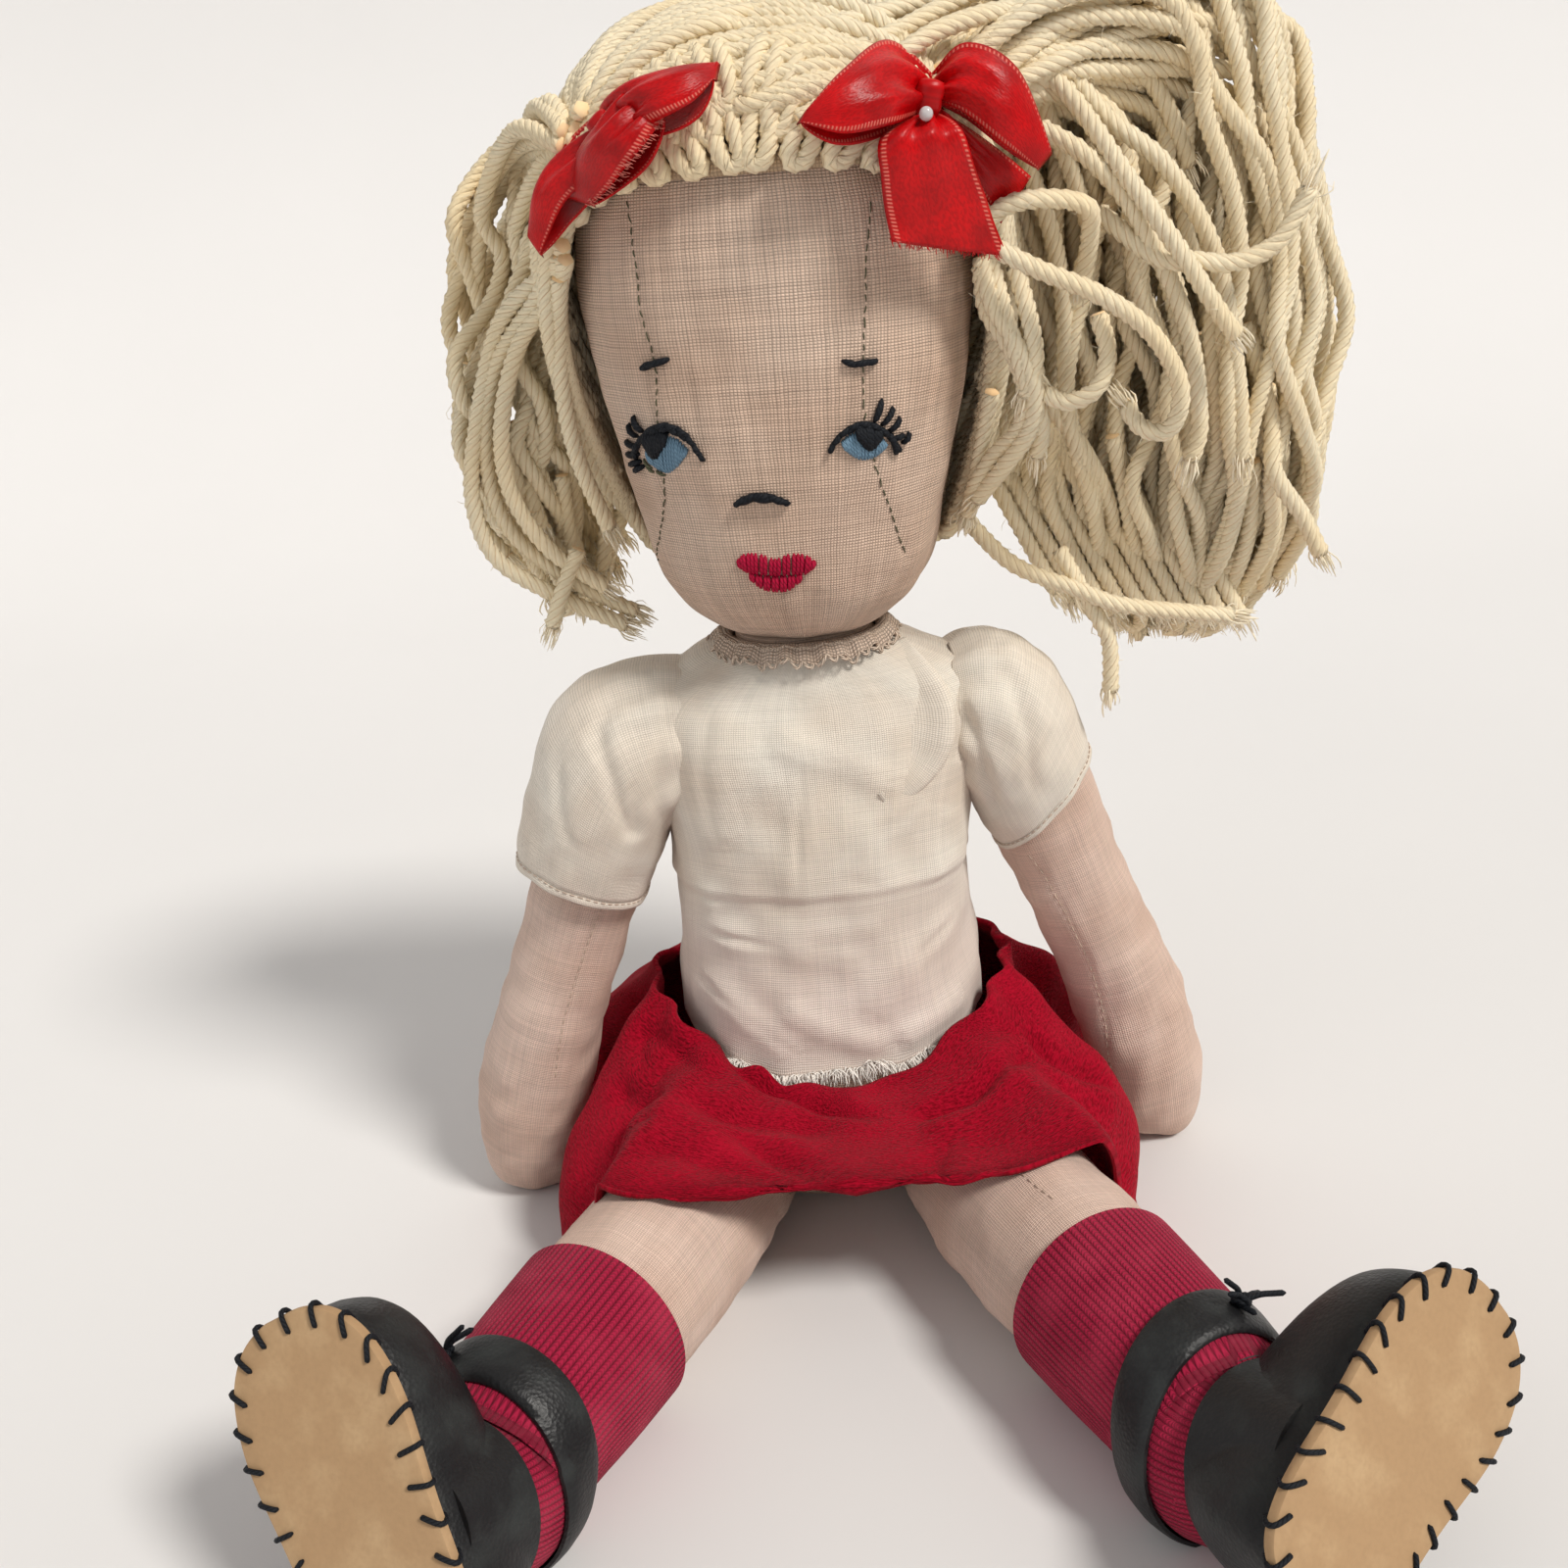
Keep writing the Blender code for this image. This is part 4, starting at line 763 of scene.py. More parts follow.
# the yarn's second colour is painted shade between its plies; the third is a random warmer tone
YARN = spun(
    "cream_yarn", (1.0, 0.86, 0.62), (0.97, 0.64, 0.33), (1.0, 0.77, 0.45), YARN_SIDES // 2,
    **surface_of(0.9, 0.1, 0.12),
)
HAIR_BASE = woven("hair_backing", (0.66, 0.50, 0.34), 0.0006, 0.4, 0.1, 0.2, **MATT)
SATIN = satin(
    "red_satin_ribbon", (0.62, 0.0015, 0.004), (0.80, 0.20, 0.15), **surface_of(0.36, 0.24, Anisotropic=0.4)
)
BLACK = twisted(
    "black_embroidery", (0.012, 0.014, 0.018), (0.002, 0.002, 0.003), 0.0008, **surface_of(0.6, 0.15)
)
BLUE = twisted("blue_embroidery", (0.16, 0.27, 0.37), (0.04, 0.09, 0.14), 0.0008, **surface_of(0.5, 0.2))
GREEN = twisted("seam_thread", (0.13, 0.13, 0.08), (0.04, 0.04, 0.02), 0.0008, **surface_of(0.8, 0.1))
RED_THREAD = twisted(
    "lip_embroidery", (0.42, 0.005, 0.040), (0.12, 0.001, 0.010), 0.0009, **surface_of(0.55, 0.15)
)
YARN_FIBRE = plain("yarn_fibre", (1.0, 0.90, 0.70), **MATT)
PALE_THREAD = plain("pale_sewing_thread", (0.60, 0.46, 0.37), **MATT)
WHITE_THREAD = plain("white_sewing_thread", (0.95, 0.90, 0.84), **MATT)
RED_FRAY = plain("ribbon_fray", (0.55, 0.020, 0.020), **FRAYED)
PINK_FRAY = plain("ribbon_selvedge_fray", (0.72, 0.20, 0.16), **FRAYED)


def show(item, material, slot, body, *replaced, padded=None, sheet=None, **facts):
    """The item with its finish, on its body, in place of the frame's nodes that it stands for."""
    item.data.materials.clear()
    item.data.materials.append(material)
    if isinstance(body, str):
        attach(item, body)
    else:
        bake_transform(item)
    if replaced:
        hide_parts(*replaced)
    return item


# Head


def head_grid(grow, steps=12, sides=192):
    grid = upright(smooth_rows(HEAD_SHARES, steps), HEAD_BASE, HEAD_SIZE, grow, sides, HEAD_POWER)
    return turned(grid, HEAD_TURN)


SEAM_PIXELS = {
    RIGHT: ((640, 205), (648, 270), (655, 320), (668, 370), (672, 425), (675, 470), (677, 520), (678, 575)),
    LEFT: ((889, 205), (884, 260), (883, 310), (880, 370), (882, 425), (893, 475), (908, 520), (922, 570)),
}
def make_head():
    """The head with its jaw, and a sewn seam down each side of the face."""
    grid = head_grid(0)
    tree = form_tree(grid)
    jaw = peak(grid[..., 2] - 0.137, 0.009) * np.clip(np.abs(grid[..., 0]) / 0.020, 0, 1)
    relief = 0.0011 * jaw + lumps(grid, (0.0003, 0.022, 3), (0.00015, 0.009, 4))
    front = grid[..., 1] < 0
    seams = []
    for side, pixels in SEAM_PIXELS.items():
        seams.append(traced(tree, pixels, 0.0006)[0])
        away = np.full(grid.shape[:2], 1.0)
        away[front] = np.min(np.linalg.norm(grid[front][:, None] - seams[-1][None, ::2], axis=2), axis=1)
        pucker = 1 + 0.5 * waves(grid, 0.0035, 6 + side)
        relief += 0.0003 * peak(away, 0.0032) - 0.00050 * pucker * peak(away, 0.0009)
    head = surface("head_muslin", pushed(grid, relief))
    show(head, MUSLIN, "muslin", "head", "head", padded=0.95)
    tree = tree_of(head)
    rng = np.random.default_rng(2)
    places = []
    for line in seams:
        i = 0
        while i < len(line) - 4:
            length = 2 if rng.uniform() < 0.7 else 3
            sway = X * rng.normal(0, 0.00012)
            places.append(stitch_on(tree, Vector(line[i]) + sway, Vector(line[i + length]) - sway))
            i += length + 1
    show(stitches("head_seam_thread", places, SEAM_THREAD), GREEN, "black_thread", "head")
    return tree


def embroider(tree, name, pairs, radius, material, slot, *replaced):
    """Straight stitches on the face between pairs of pixels."""
    places = []
    for first, last in pairs:
        place, normal = seen(tree, *first)
        places.append((place, seen(tree, *last)[0], normal))
    return show(stitches(name, places, radius), material, slot, "head", *replaced)


def between(a, b, share):
    return tuple(p + (q - p) * share for p, q in zip(a, b))


def fan(top, bottom, count):
    """Pairs of pixels: stitches from one line of pixels to another."""
    lines = smooth_rows(top, 8), smooth_rows(bottom, 8)
    shares = [i / (count - 1) for i in range(count)]
    return [tuple(tuple(line[int(round(share * (len(line) - 1)))]) for line in lines) for share in shares]


def chain(pixels, count, overlap=0.3):
    """Pairs of pixels along a line, each stitch starting inside the one before."""
    line = smooth_rows(pixels, 12)
    length = len(line) - 1
    pairs = []
    for i in range(count):
        end = min(int(length * (i + 1 + overlap) / count), length)
        pairs.append((tuple(line[int(length * i / count)]), tuple(line[end])))
    return pairs


IRIS_PIXELS = {
    RIGHT: (((660, 458), (668, 448), (680, 444), (692, 448), (702, 458)),
            ((666, 474), (674, 481), (683, 483), (692, 476), (699, 466))),
    LEFT: (((859, 450), (868, 442), (882, 438), (896, 442), (904, 452)),
           ((864, 460), (872, 467), (883, 470), (894, 466), (901, 458))),
}
PUPIL_PIXELS = {
    RIGHT: (((661, 440), (668, 436), (675, 437), (681, 441)),
            ((661, 458), (666, 468), (672, 468), (678, 456))),
    LEFT: (((874, 436), (882, 433), (890, 434), (897, 438)),
           ((877, 450), (883, 459), (889, 460), (895, 451))),
}
BROW_PIXELS = {
    RIGHT: (((655, 376), (668, 372)), ((656, 373), (681, 368)), ((666, 370), (683, 366))),
    LEFT: (((859, 368), (876, 373)), ((868, 372), (890, 368)), ((880, 370), (895, 367))),
}
# the lid's two lines of stitches with their counts, and its lashes
LID_PIXELS = {
    RIGHT: (
        (((650, 462), (656, 447), (669, 436), (685, 433), (701, 443), (711, 457), (719, 470)), 9),
        (((658, 446), (670, 438), (688, 437), (703, 449)), 5),
        (((657, 441), (647, 424)), ((652, 446), (642, 432)), ((652, 455), (640, 449)),
         ((653, 463), (641, 462)), ((655, 470), (644, 473)), ((658, 475), (649, 480)), ((653, 450), (650, 468))),
    ),
    LEFT: (
        (((846, 462), (852, 449), (864, 438), (880, 431), (896, 436), (908, 447), (917, 461)), 9),
        (((862, 441), (880, 434), (894, 438)), 4),
        (((892, 431), (900, 407)), ((899, 434), (911, 415)), ((906, 440), (918, 425)),
         ((910, 447), (921, 443)), ((920, 452), (927, 441)), ((906, 440), (914, 464))),
    ),
}
IRIS_EDGE_PIXELS = (((660, 474), (668, 482)), ((657, 468), (666, 478)), ((670, 480), (680, 485)))
NOSE_PIXELS = (
    (((750, 515), (760, 507), (776, 504), (792, 507), (806, 514)), 5),
    (((752, 512), (776, 506), (804, 512)), 3),
    (((764, 505), (790, 506)),),
)
UPPER_LIP_PIXELS = (
    ((753, 571), (760, 565), (775, 565), (791, 570), (806, 565), (822, 566), (832, 573)),
    ((757, 579), (764, 585), (776, 587), (791, 588), (806, 587), (820, 587), (828, 580)),
)
LOWER_LIP_PIXELS = (
    ((766, 584), (778, 586), (791, 587), (804, 586), (817, 585)),
    ((768, 592), (778, 601), (791, 604), (804, 603), (815, 594)),
)
IRIS_STITCH_COUNT = {RIGHT: 18, LEFT: 19}
PUPIL_RAISE = 0.0003


def chained(first, second, single):
    """Pairs of pixels: two chains, each a line and its count, and single stitches."""
    return chain(*first) + chain(*second) + list(single)


def make_face(tree):
    black, blue, red = (BLACK, "black_thread"), (BLUE, "blue_thread"), (RED_THREAD, "crimson_thread")
    both = [(side, SIDES[side]) for side in (RIGHT, LEFT)]
    rows = [(name + "_brow", BROW_PIXELS[side], 0.0006, black) for side, name in both]
    for side, name in both:
        rows.append((name + "_iris", fan(*IRIS_PIXELS[side], IRIS_STITCH_COUNT[side]), 0.00034, blue))
    rows += [(name + "_pupil", fan(*PUPIL_PIXELS[side], 9), 0.00055, black) for side, name in both]
    rows += [(name + "_lid", chained(*LID_PIXELS[side]), 0.0006, black) for side, name in both]
    rows.append(("nose", chained(*NOSE_PIXELS), 0.00065, black))
    rows.append(("upper_lip", fan(*UPPER_LIP_PIXELS, 21), 0.00042, red))
    rows.append(("lower_lip", fan(*LOWER_LIP_PIXELS, 14), 0.00042, red))
    for name, pairs, radius, thread in rows:
        item = embroider(tree, name + "_stitches", pairs, radius, *thread, name)
        if "pupil" in name:
            item.location.y -= PUPIL_RAISE
    embroider(tree, "right_iris_edge", IRIS_EDGE_PIXELS, 0.0003, GREEN, "blue_thread")


# Hair

CROWN = tree_of(surface("crown", head_grid(HAIR_THICKNESS - 0.0016, 6, 72)), keep=False)
HEAD_MIDDLE = Vector((0, 0, 0.178))
YARN_RADIUS = 0.0017
YARN_STEP = 0.0010
YARN_PITCH = 0.0105
PLY_DEPTH = 0.13
LOOPED_SHARE = 0.30
LOWER_FAN_COUNT = 10
LOOPED_POINT_COUNT = 12
FRINGE_PITCH = 0.0064
FRINGE_LENGTH = 0.0125
FRINGE_RISE = 0.0046
FRINGE_ROW_COUNT = 3


def head_way(side, azimuth, elevation):
    """A direction from the head's middle on one side of it: azimuth -90 is the front and 90 the back."""
    a = math.radians(azimuth if side == LEFT else 180 - azimuth) + HEAD_TURN
    e = math.radians(elevation)
    return Vector((math.cos(a) * math.cos(e), math.sin(a) * math.cos(e), math.sin(e)))


def on_crown(way, lift=0.0):
    place, normal, _, _ = CROWN.ray_cast(HEAD_MIDDLE + way * 0.2, -way)
    return place + normal * lift


def on_hair(point, lift):
    """The point brought onto the hair's form."""
    place, normal, _, _ = CROWN.find_nearest(point)
    return place + normal * lift


def clear_of_head(point):
    """The point, moved out of the head and its hair where it would lie in them."""
    place, normal, _, _ = CROWN.find_nearest(point)
    return place + normal * YARN_RADIUS if (point - place).dot(normal) < YARN_RADIUS else point


def over_head(a, b, steps, lift):
    """A path on the crown from one direction to another."""
    path = []
    for i in range(steps + 1):
        t = i / steps
        path.append(on_crown(a.slerp(b, t), lift + 0.0012 * math.sin(math.pi * t)))
    return path


def over(px, py, lift):
    """The place seen at a pixel, a lift in millimetres in front of the hair or of its outline."""
    way = pixel_way(px, py)
    place = CROWN.ray_cast(CAMERA_PLACE, way)[0]
    if place is None:
        reach = min(np.linspace(0.22, 0.36, 57), key=lambda t: CROWN.find_nearest(CAMERA_PLACE + way * t)[3])
        place = CAMERA_PLACE + way * reach
    return place - way * lift / 1000


TIES = {
    LEFT: (over(952, 112, 0) - HEAD_MIDDLE).normalized(),
    RIGHT: (over(604, 158, 0) - HEAD_MIDDLE).normalized(),
}
# directions along the hairline, and along the edge of each half of the hair: parting, hairline, cheek,
# nape and parting again
HAIRLINE = ((-90, 45), (-68, 43), (-46, 39), (-27, 31))
EDGE_ANGLES = (
    (-90, 84), (-90, 68), (-90, 54), (-70, 52), (-50, 48), (-28, 39), (-8, 22), (-2, 4), (0, -14), (2, -38),
    (12, -50), (34, -54), (60, -55), (88, -54), (90, -30), (90, 0), (90, 30), (90, 55), (90, 78),
)
# a loop of the fringe: shares of its length and of the pitch, and a lift in millimetres
FRINGE_SHAPE = (
    (1.00, -0.16, -0.6), (0.60, -0.26, 0.2), (0.22, -0.27, 0.1), (0.03, -0.23, -0.5), (-0.06, -0.12, -1.1),
    (-0.06, 0.12, -1.1), (0.03, 0.23, -0.5), (0.22, 0.27, 0.1), (0.60, 0.28, 0.2), (1.00, 0.32, -0.6),
)


def crown_line(side, angles, step):
    """Places along a line of directions over one half of the hair, one at every step."""
    ways = [head_way(side, *angle) for angle in smooth_rows(angles, 10)]
    return [Vector(point) for point in spline([on_crown(way) for way in ways], step)[0]]


def fringe_paths():
    """Short loops sewn along the hairline, leaning away from the parting."""
    paths = []
    for side in (LEFT, RIGHT):
        line = crown_line(side, HAIRLINE, FRINGE_PITCH / 2)
        for row in range(FRINGE_ROW_COUNT):
            for i in range(row % 2, len(line) - 1, 2):
                across = (line[i + 1] - line[max(i - 1, 0)]).normalized()
                up = CROWN.find_nearest(line[i])[1].cross(across)
                up = up if up.z > 0 else -up
                lean = (up + across * min(0.15 + 0.12 * i, 0.6)).normalized()
                low = line[i] + up * FRINGE_RISE * row + across * FRINGE_PITCH * 0.3
                path = []
                for high, wide, lift in FRINGE_SHAPE:
                    point = low + lean * high * FRINGE_LENGTH + across * wide * FRINGE_PITCH
                    path.append(on_hair(point, lift / 1000 + 0.0010 * row))
                paths.append(path)
    return paths


def cap_paths(side, rng):
    """Loops from a bunch's tie to the edge of its half of the hair, under a second, looser layer."""
    tie = TIES[side]
    edge = [(point - HEAD_MIDDLE).normalized() for point in crown_line(side, EDGE_ANGLES, 0.0034)]
    paths = []
    for first, second in zip(edge[0:-1:2], edge[1::2]):
        lift = rng.uniform(0.0002, 0.0018)
        near = [tie.slerp(way, rng.uniform(0.04, 0.12)) for way in (first, second)]
        out = (first + second).normalized()
        further = (out + (out - tie).normalized() * 0.035).normalized()
        turn = on_crown(further, lift - 0.0006)
        paths.append(over_head(near[0], first, 7, lift) + [turn] + over_head(second, near[1], 7, lift))
    for way in edge[1:-1:3]:
        path = over_head(tie.slerp(way, 0.05), tie.slerp(way, rng.uniform(0.55, 0.93)), 5, 0.0022)
        paths.append(path + [on_crown(tie.slerp(way, 0.97), 0.0004)])
    return paths


def make_hair_cap():
    rng = np.random.default_rng(11)
    paths = fringe_paths() + cap_paths(LEFT, rng) + cap_paths(RIGHT, rng)
    item = tubes("hair_cap_yarn", paths, YARN_RADIUS, YARN_SIDES, YARN_STEP, 1.0, 0.5, YARN_PITCH)
    show(item, YARN, "hair_yarn", "head", "hair_cap")
    base = upright(smooth_rows(HEAD_SHARES, 6), HEAD_BASE, HEAD_SIZE, 0.0020, 96, HEAD_POWER)
    vertices, local = turned(base, HEAD_TURN).reshape(-1, 3), base.reshape(-1, 3)
    rows, columns = base.shape[:2]
    faces = []
    for corner in (quad(r, c, columns) for r in range(rows - 1) for c in range(columns)):
        _, y, z = local[list(corner)].mean(0)
        on_face = y < 0.011 and z < HEAD_BASE.z + HEAD_SIZE[2] * 0.80
        if not on_face and z > HEAD_BASE.z + 0.014:
            faces.append(corner)
    last = (rows - 1) * columns
    faces.append(tuple(range(last, last + columns)))
    used = sorted({i for face in faces for i in face})
    index = {old: new for new, old in enumerate(used)}
    corners = [(vertices[i][0], vertices[i][2]) for face in faces for i in face]
    faces = [tuple(index[i] for i in face) for face in faces]
    item = thicken(new_object("hair_cap_backing", vertices[used], faces, corners), 0.0010)
    show(
        item, HAIR_BASE, "hair_yarn", "head",
        sheet=BACKING_CLOTH, area=BACKING_AREA, held="stretched", rests_on="head_muslin",
    )

# lowest height above the head's base, height, width and depth, then shares of them along the height
BUNCHES = {
    LEFT: (-0.0160, 0.1380, 0.0680, 0.0420, (
        (0.000, 1.06, 0.72, 0.24, 0.24),
        (0.050, 1.06, 0.67, 0.59, 0.52),
        (0.145, 1.06, 0.57, 0.82, 0.71),
        (0.270, 1.04, 0.45, 0.94, 0.90),
        (0.435, 1.02, 0.38, 1.00, 1.00),
        (0.595, 0.98, 0.36, 1.00, 1.00),
        (0.740, 0.92, 0.33, 0.97, 0.95),
        (0.850, 0.85, 0.31, 0.91, 0.90),
        (0.930, 0.79, 0.29, 0.76, 0.76),
        (0.980, 0.77, 0.29, 0.50, 0.50),
        (1.000, 0.77, 0.29, 0.24, 0.24),
    )),
    RIGHT: (0.0000, 0.0980, 0.0300, 0.0300, (
        (0.000, 1.52, 0.43, 0.36, 0.36),
        (0.070, 1.60, 0.43, 0.72, 0.70),
        (0.220, 1.70, 0.40, 0.94, 0.94),
        (0.420, 1.72, 0.33, 1.00, 1.00),
        (0.620, 1.62, 0.33, 1.00, 1.00),
        (0.800, 1.48, 0.33, 0.92, 0.92),
        (0.930, 1.32, 0.33, 0.72, 0.70),
        (1.000, 1.18, 0.33, 0.36, 0.36),
    )),
}
# loose strands that the photograph shows, as pixels and distances from the doll's middle plane
STRANDS = {
    LEFT: (
        ((985, 236, -24), (1010, 250, -27), (1060, 275, -28), (1120, 300, -29), (1170, 335, -28),
         (1200, 380, -27), (1204, 415, -26), (1190, 440, -24), (1165, 436, -22), (1148, 412, -20)),
        ((1120, 320, -24), (1130, 360, -24), (1120, 395, -24), (1090, 410, -22), (1065, 400, -20)),
        ((990, 250, -24), (1020, 214, -25), (1060, 203, -26), (1108, 210, -24), (1112, 240, -20),
         (1105, 290, -16)),
        ((984, 23, -8), (1080, 85, -16), (1150, 180, -22), (1200, 250, -24), (1245, 320, -24),
         (1262, 343, -23)),
        ((1120, 215, -16), (1180, 262, -20), (1221, 266, -22), (1259, 268, -22), (1300, 250, -22),
         (1325, 215, -22), (1336, 191, -22)),
        ((1270, 330, -8), (1296, 420, -10), (1300, 480, -12), (1328, 525, -12), (1348, 566, -12)),
        ((1080, 560, -4), (1119, 628, -8), (1132, 657, -8), (1133, 706, -8)),
        ((976, 525, 2), (1033, 575, -4), (1099, 601, -8), (1149, 618, -10), (1258, 628, -8)),
        ((966, 270, -18), (999, 316, -19), (1033, 359, -20), (1047, 406, -19), (1039, 439, -16),
         (1013, 466, -12), (986, 496, -8), (968, 522, -4)),
        ((985, 262, -20), (1012, 310, -22), (1040, 356, -22), (1056, 400, -21), (1050, 440, -18),
         (1025, 475, -14), (996, 510, -8)),
        ((1009, 262, -20), (1028, 330, -22), (1046, 386, -21), (1062, 430, -18), (1058, 465, -14)),
        ((1035, 270, -20), (1049, 320, -22), (1056, 366, -22), (1047, 405, -20)),
        ((1012, 400, -14), (999, 449, -10), (975, 494, -6), (962, 522, -2)),
        ((800, 118, -24), (850, 78, -24), (920, 30, -20), (1010, -14, -12), (1110, -28, -4),
         (1200, 30, 0), (1255, 130, 2), (1270, 260, 2), (1285, 400, 2)),
        ((790, 92, -18), (850, 48, -18), (930, 4, -14), (1030, -34, -6), (1130, -36, 0), (1216, 40, 4),
         (1262, 160, 5), (1282, 300, 6)),
        ((812, 140, -26), (860, 100, -26), (900, 70, -26), (960, 30, -22), (1040, 10, -16),
         (1120, 30, -10), (1180, 90, -8), (1215, 170, -8)),
        ((1080, 60, -12), (1130, 120, -16), (1190, 170, -17), (1240, 260, -16), (1262, 380, -14),
         (1268, 470, -12)),
        ((1060, 130, -18), (1110, 160, -20), (1160, 220, -20), (1210, 330, -18), (1224, 430, -16),
         (1214, 470, -15)),
    ),
    RIGHT: (
        ((604, 250, -14), (560, 275, -10), (510, 330, -4), (487, 430, 0), (482, 510, 2), (505, 568, 3),
         (560, 604, 4), (640, 638, 6)),
        ((612, 262, -14), (575, 300, -10), (530, 350, -6), (512, 430, -3), (520, 500, 0), (560, 560, 2),
         (620, 600, 4)),
        ((596, 262, -14), (545, 310, -8), (503, 380, -2), (496, 470, 2), (520, 540, 4), (580, 590, 6),
         (650, 625, 8)),
        ((606, 280, -12), (585, 330, -9), (574, 400, -6), (590, 470, -3), (622, 540, 0)),
        ((590, 560, 2), (575, 600, 2), (563, 640, 2)),
    ),
}


def bunch_path(side, rng):
    """A strand from the tie over the top of its bunch and down through it, now and then looped back up."""
    low, tall, width, depth, shares = BUNCHES[side]
    turn = rng.uniform(0, 2 * math.pi)
    inside = 1 - 0.62 * rng.uniform(0, 1) ** 1.6
    start_point = on_crown(TIES[side], 0.0010) + Vector(rng.normal(0, 0.0018, 3))
    high = rng.uniform(0.78, 0.97) * (0.70 + 0.30 * inside)
    end = abs(rng.normal(0.03, 0.08)) + 0.02
    phase = rng.uniform(0, 6.3)
    swing = rng.uniform(0.0010, 0.0036)
    drift = rng.normal(0, 0.45)
    rows = np.array(shares)
    spin = Matrix.Rotation(HEAD_TURN, 3, "Z")

    def place(height, angle, sway):
        out, back, wide, deep = (np.interp(height, rows[:, 0], rows[:, j]) for j in range(1, 5))
        x = side * width * out + (width / 2 * wide * inside - 0.001) * math.cos(angle)
        x += swing * math.sin(sway)
        y = depth * back + (depth / 2 * deep * inside - 0.001) * math.sin(angle)
        y += swing * math.cos(sway * 0.8)
        return spin @ Vector((x, y, HEAD_BASE.z + low + tall * height))

    heights = np.linspace(high, end, 9)
    path = [place(height, turn + drift * k / 8, phase + 1.7 * k) for k, height in enumerate(heights)]
    if rng.uniform() < LOOPED_SHARE:
        back = heights[-1] + np.array((-0.02, 0.05, 0.16, 0.30)) * rng.uniform(0.7, 1.2)
        aside = rng.choice((-1, 1)) * rng.uniform(0.30, 0.55)
        for k, (height, bend) in enumerate(zip(back, (0.5, 0.95, 1.0, 0.9))):
            path.append(place(height, turn + drift + aside * bend, phase + 1.7 * 8 + 0.3 * k))
    rise = start_point.lerp(path[0], 0.5) + Z * rng.uniform(0.001, 0.008)
    return [start_point] + [clear_of_head(point) for point in [rise] + path]


def frayed(paths, rng, count):
    """Short loose fibres at the cut ends of strands."""
    fibres = []
    for path in paths:
        end = Vector(path[-1])
        way = (end - Vector(path[-2])).normalized()
        for _ in range(count):
            spread = Vector(rng.normal(0, 1, 3))
            tip = end + way * rng.uniform(0.0012, 0.0040) + spread * 0.0009
            root = end - way * 0.0012 + spread * 0.0005
            fibres.append(([root, (root + tip) / 2 + spread * 0.0003, tip], rng.uniform(0.00008, 0.00022)))
    return fibres


def fuzzy(paths, rng):
    """Fine fibres that stand off strands."""
    fibres = []
    for path in paths:
        for point in spline(path, 0.006)[0][1:-1]:
            way = Vector(rng.normal(0, 1, 3)).normalized()
            root = Vector(point) + way * YARN_RADIUS * 0.85
            middle = root + way * 0.0008 + Vector(rng.normal(0, 0.0006, 3))
            fibres.append([root, middle, middle + Vector(rng.normal(0, 0.0009, 3))])
    return fibres


def make_bunch(side, count):
    rng = np.random.default_rng(29 + side)
    name = SIDES[side]
    paths = [bunch_path(side, rng) for _ in range(count)]
    ends = [path for path in paths if len(path) < LOOPED_POINT_COUNT]
    strands = list(STRANDS[side])
    for k in range(LOWER_FAN_COUNT if side == LEFT else 0):
        a, b = (985 + 23 * k, 430 + 5 * k, 8), (1025 + 23 * k, 510 + 6 * k, 4)
        c = (1078 + 21 * k, 604 + 3 * k, 3)
        strands.append((a, between(a[:2], b[:2], 0.5) + (7,), b, c))
    paths += [[clear_of_head(at(*pixel)) for pixel in strand] for strand in strands]
    ends += paths[count:]
    item = tubes(name + "_bunch_yarn", paths, YARN_RADIUS, YARN_SIDES, YARN_STEP, 1.08, 0.85, YARN_PITCH)
    show(item, YARN, "hair_yarn", "head", name + "_hair_bunch")
    item = tubes(name + "_bunch_frayed_ends", frayed(ends, rng, 34), 0.0003, 4, 0.0012)
    show(item, YARN_FIBRE, "hair_yarn", "head")
    show(tubes(name + "_bunch_fuzz", fuzzy(paths, rng), 0.00005, 4, 0.0012), YARN_FIBRE, "hair_yarn", "head")

# Bows: ribbon pieces between two edges, each a list of pixels and lifts in front of the hair
BOWS = {
    LEFT: (
        # flap to the doll's right
        (((950, 82, 8), (905, 43, 11), (862, 70, 11), (824, 112, 10)), ((944, 110, 8), (910, 127, 10),
         (862, 136, 10), (817, 126, 9)), True),
        # wide loop to its left, and the side of it that comes back below
        (((948, 80, 8), (985, 44, 19), (1038, 70, 20), (1072, 152, 19)), ((954, 102, 9), (985, 116, 24),
         (1025, 148, 25), (1058, 172, 20)), True),
        (((960, 110, 7), (1004, 142, 19), (1052, 180, 16)), ((954, 122, 7), (996, 188, 9),
         (1020, 228, 16)), False),
        # tail in front
        (((934, 118, 9), (899, 142, 8), (899, 185, 7), (909, 247, 5)), ((958, 118, 10), (982, 136, 20),
         (1001, 190, 18), (1026, 262, 21)), False),
    ),
    RIGHT: (
        # upper flap
        (((612, 112, 7), (645, 85, 10), (695, 68, 10), (731, 63, 8)), ((640, 136, 8), (672, 122, 11),
         (706, 104, 10), (728, 82, 8)), True),
        # middle flap, over the knot
        (((638, 96, 10), (612, 128, 12), (588, 160, 12), (579, 200, 10)), ((672, 120, 10),
         (652, 150, 12), (632, 178, 11), (606, 209, 9)), True),
        # lower flap behind
        (((612, 120, 7), (570, 160, 15), (544, 204, 17), (539, 240, 16)), ((632, 150, 7),
         (592, 188, 11), (570, 218, 16), (553, 260, 15)), True),
    ),
}


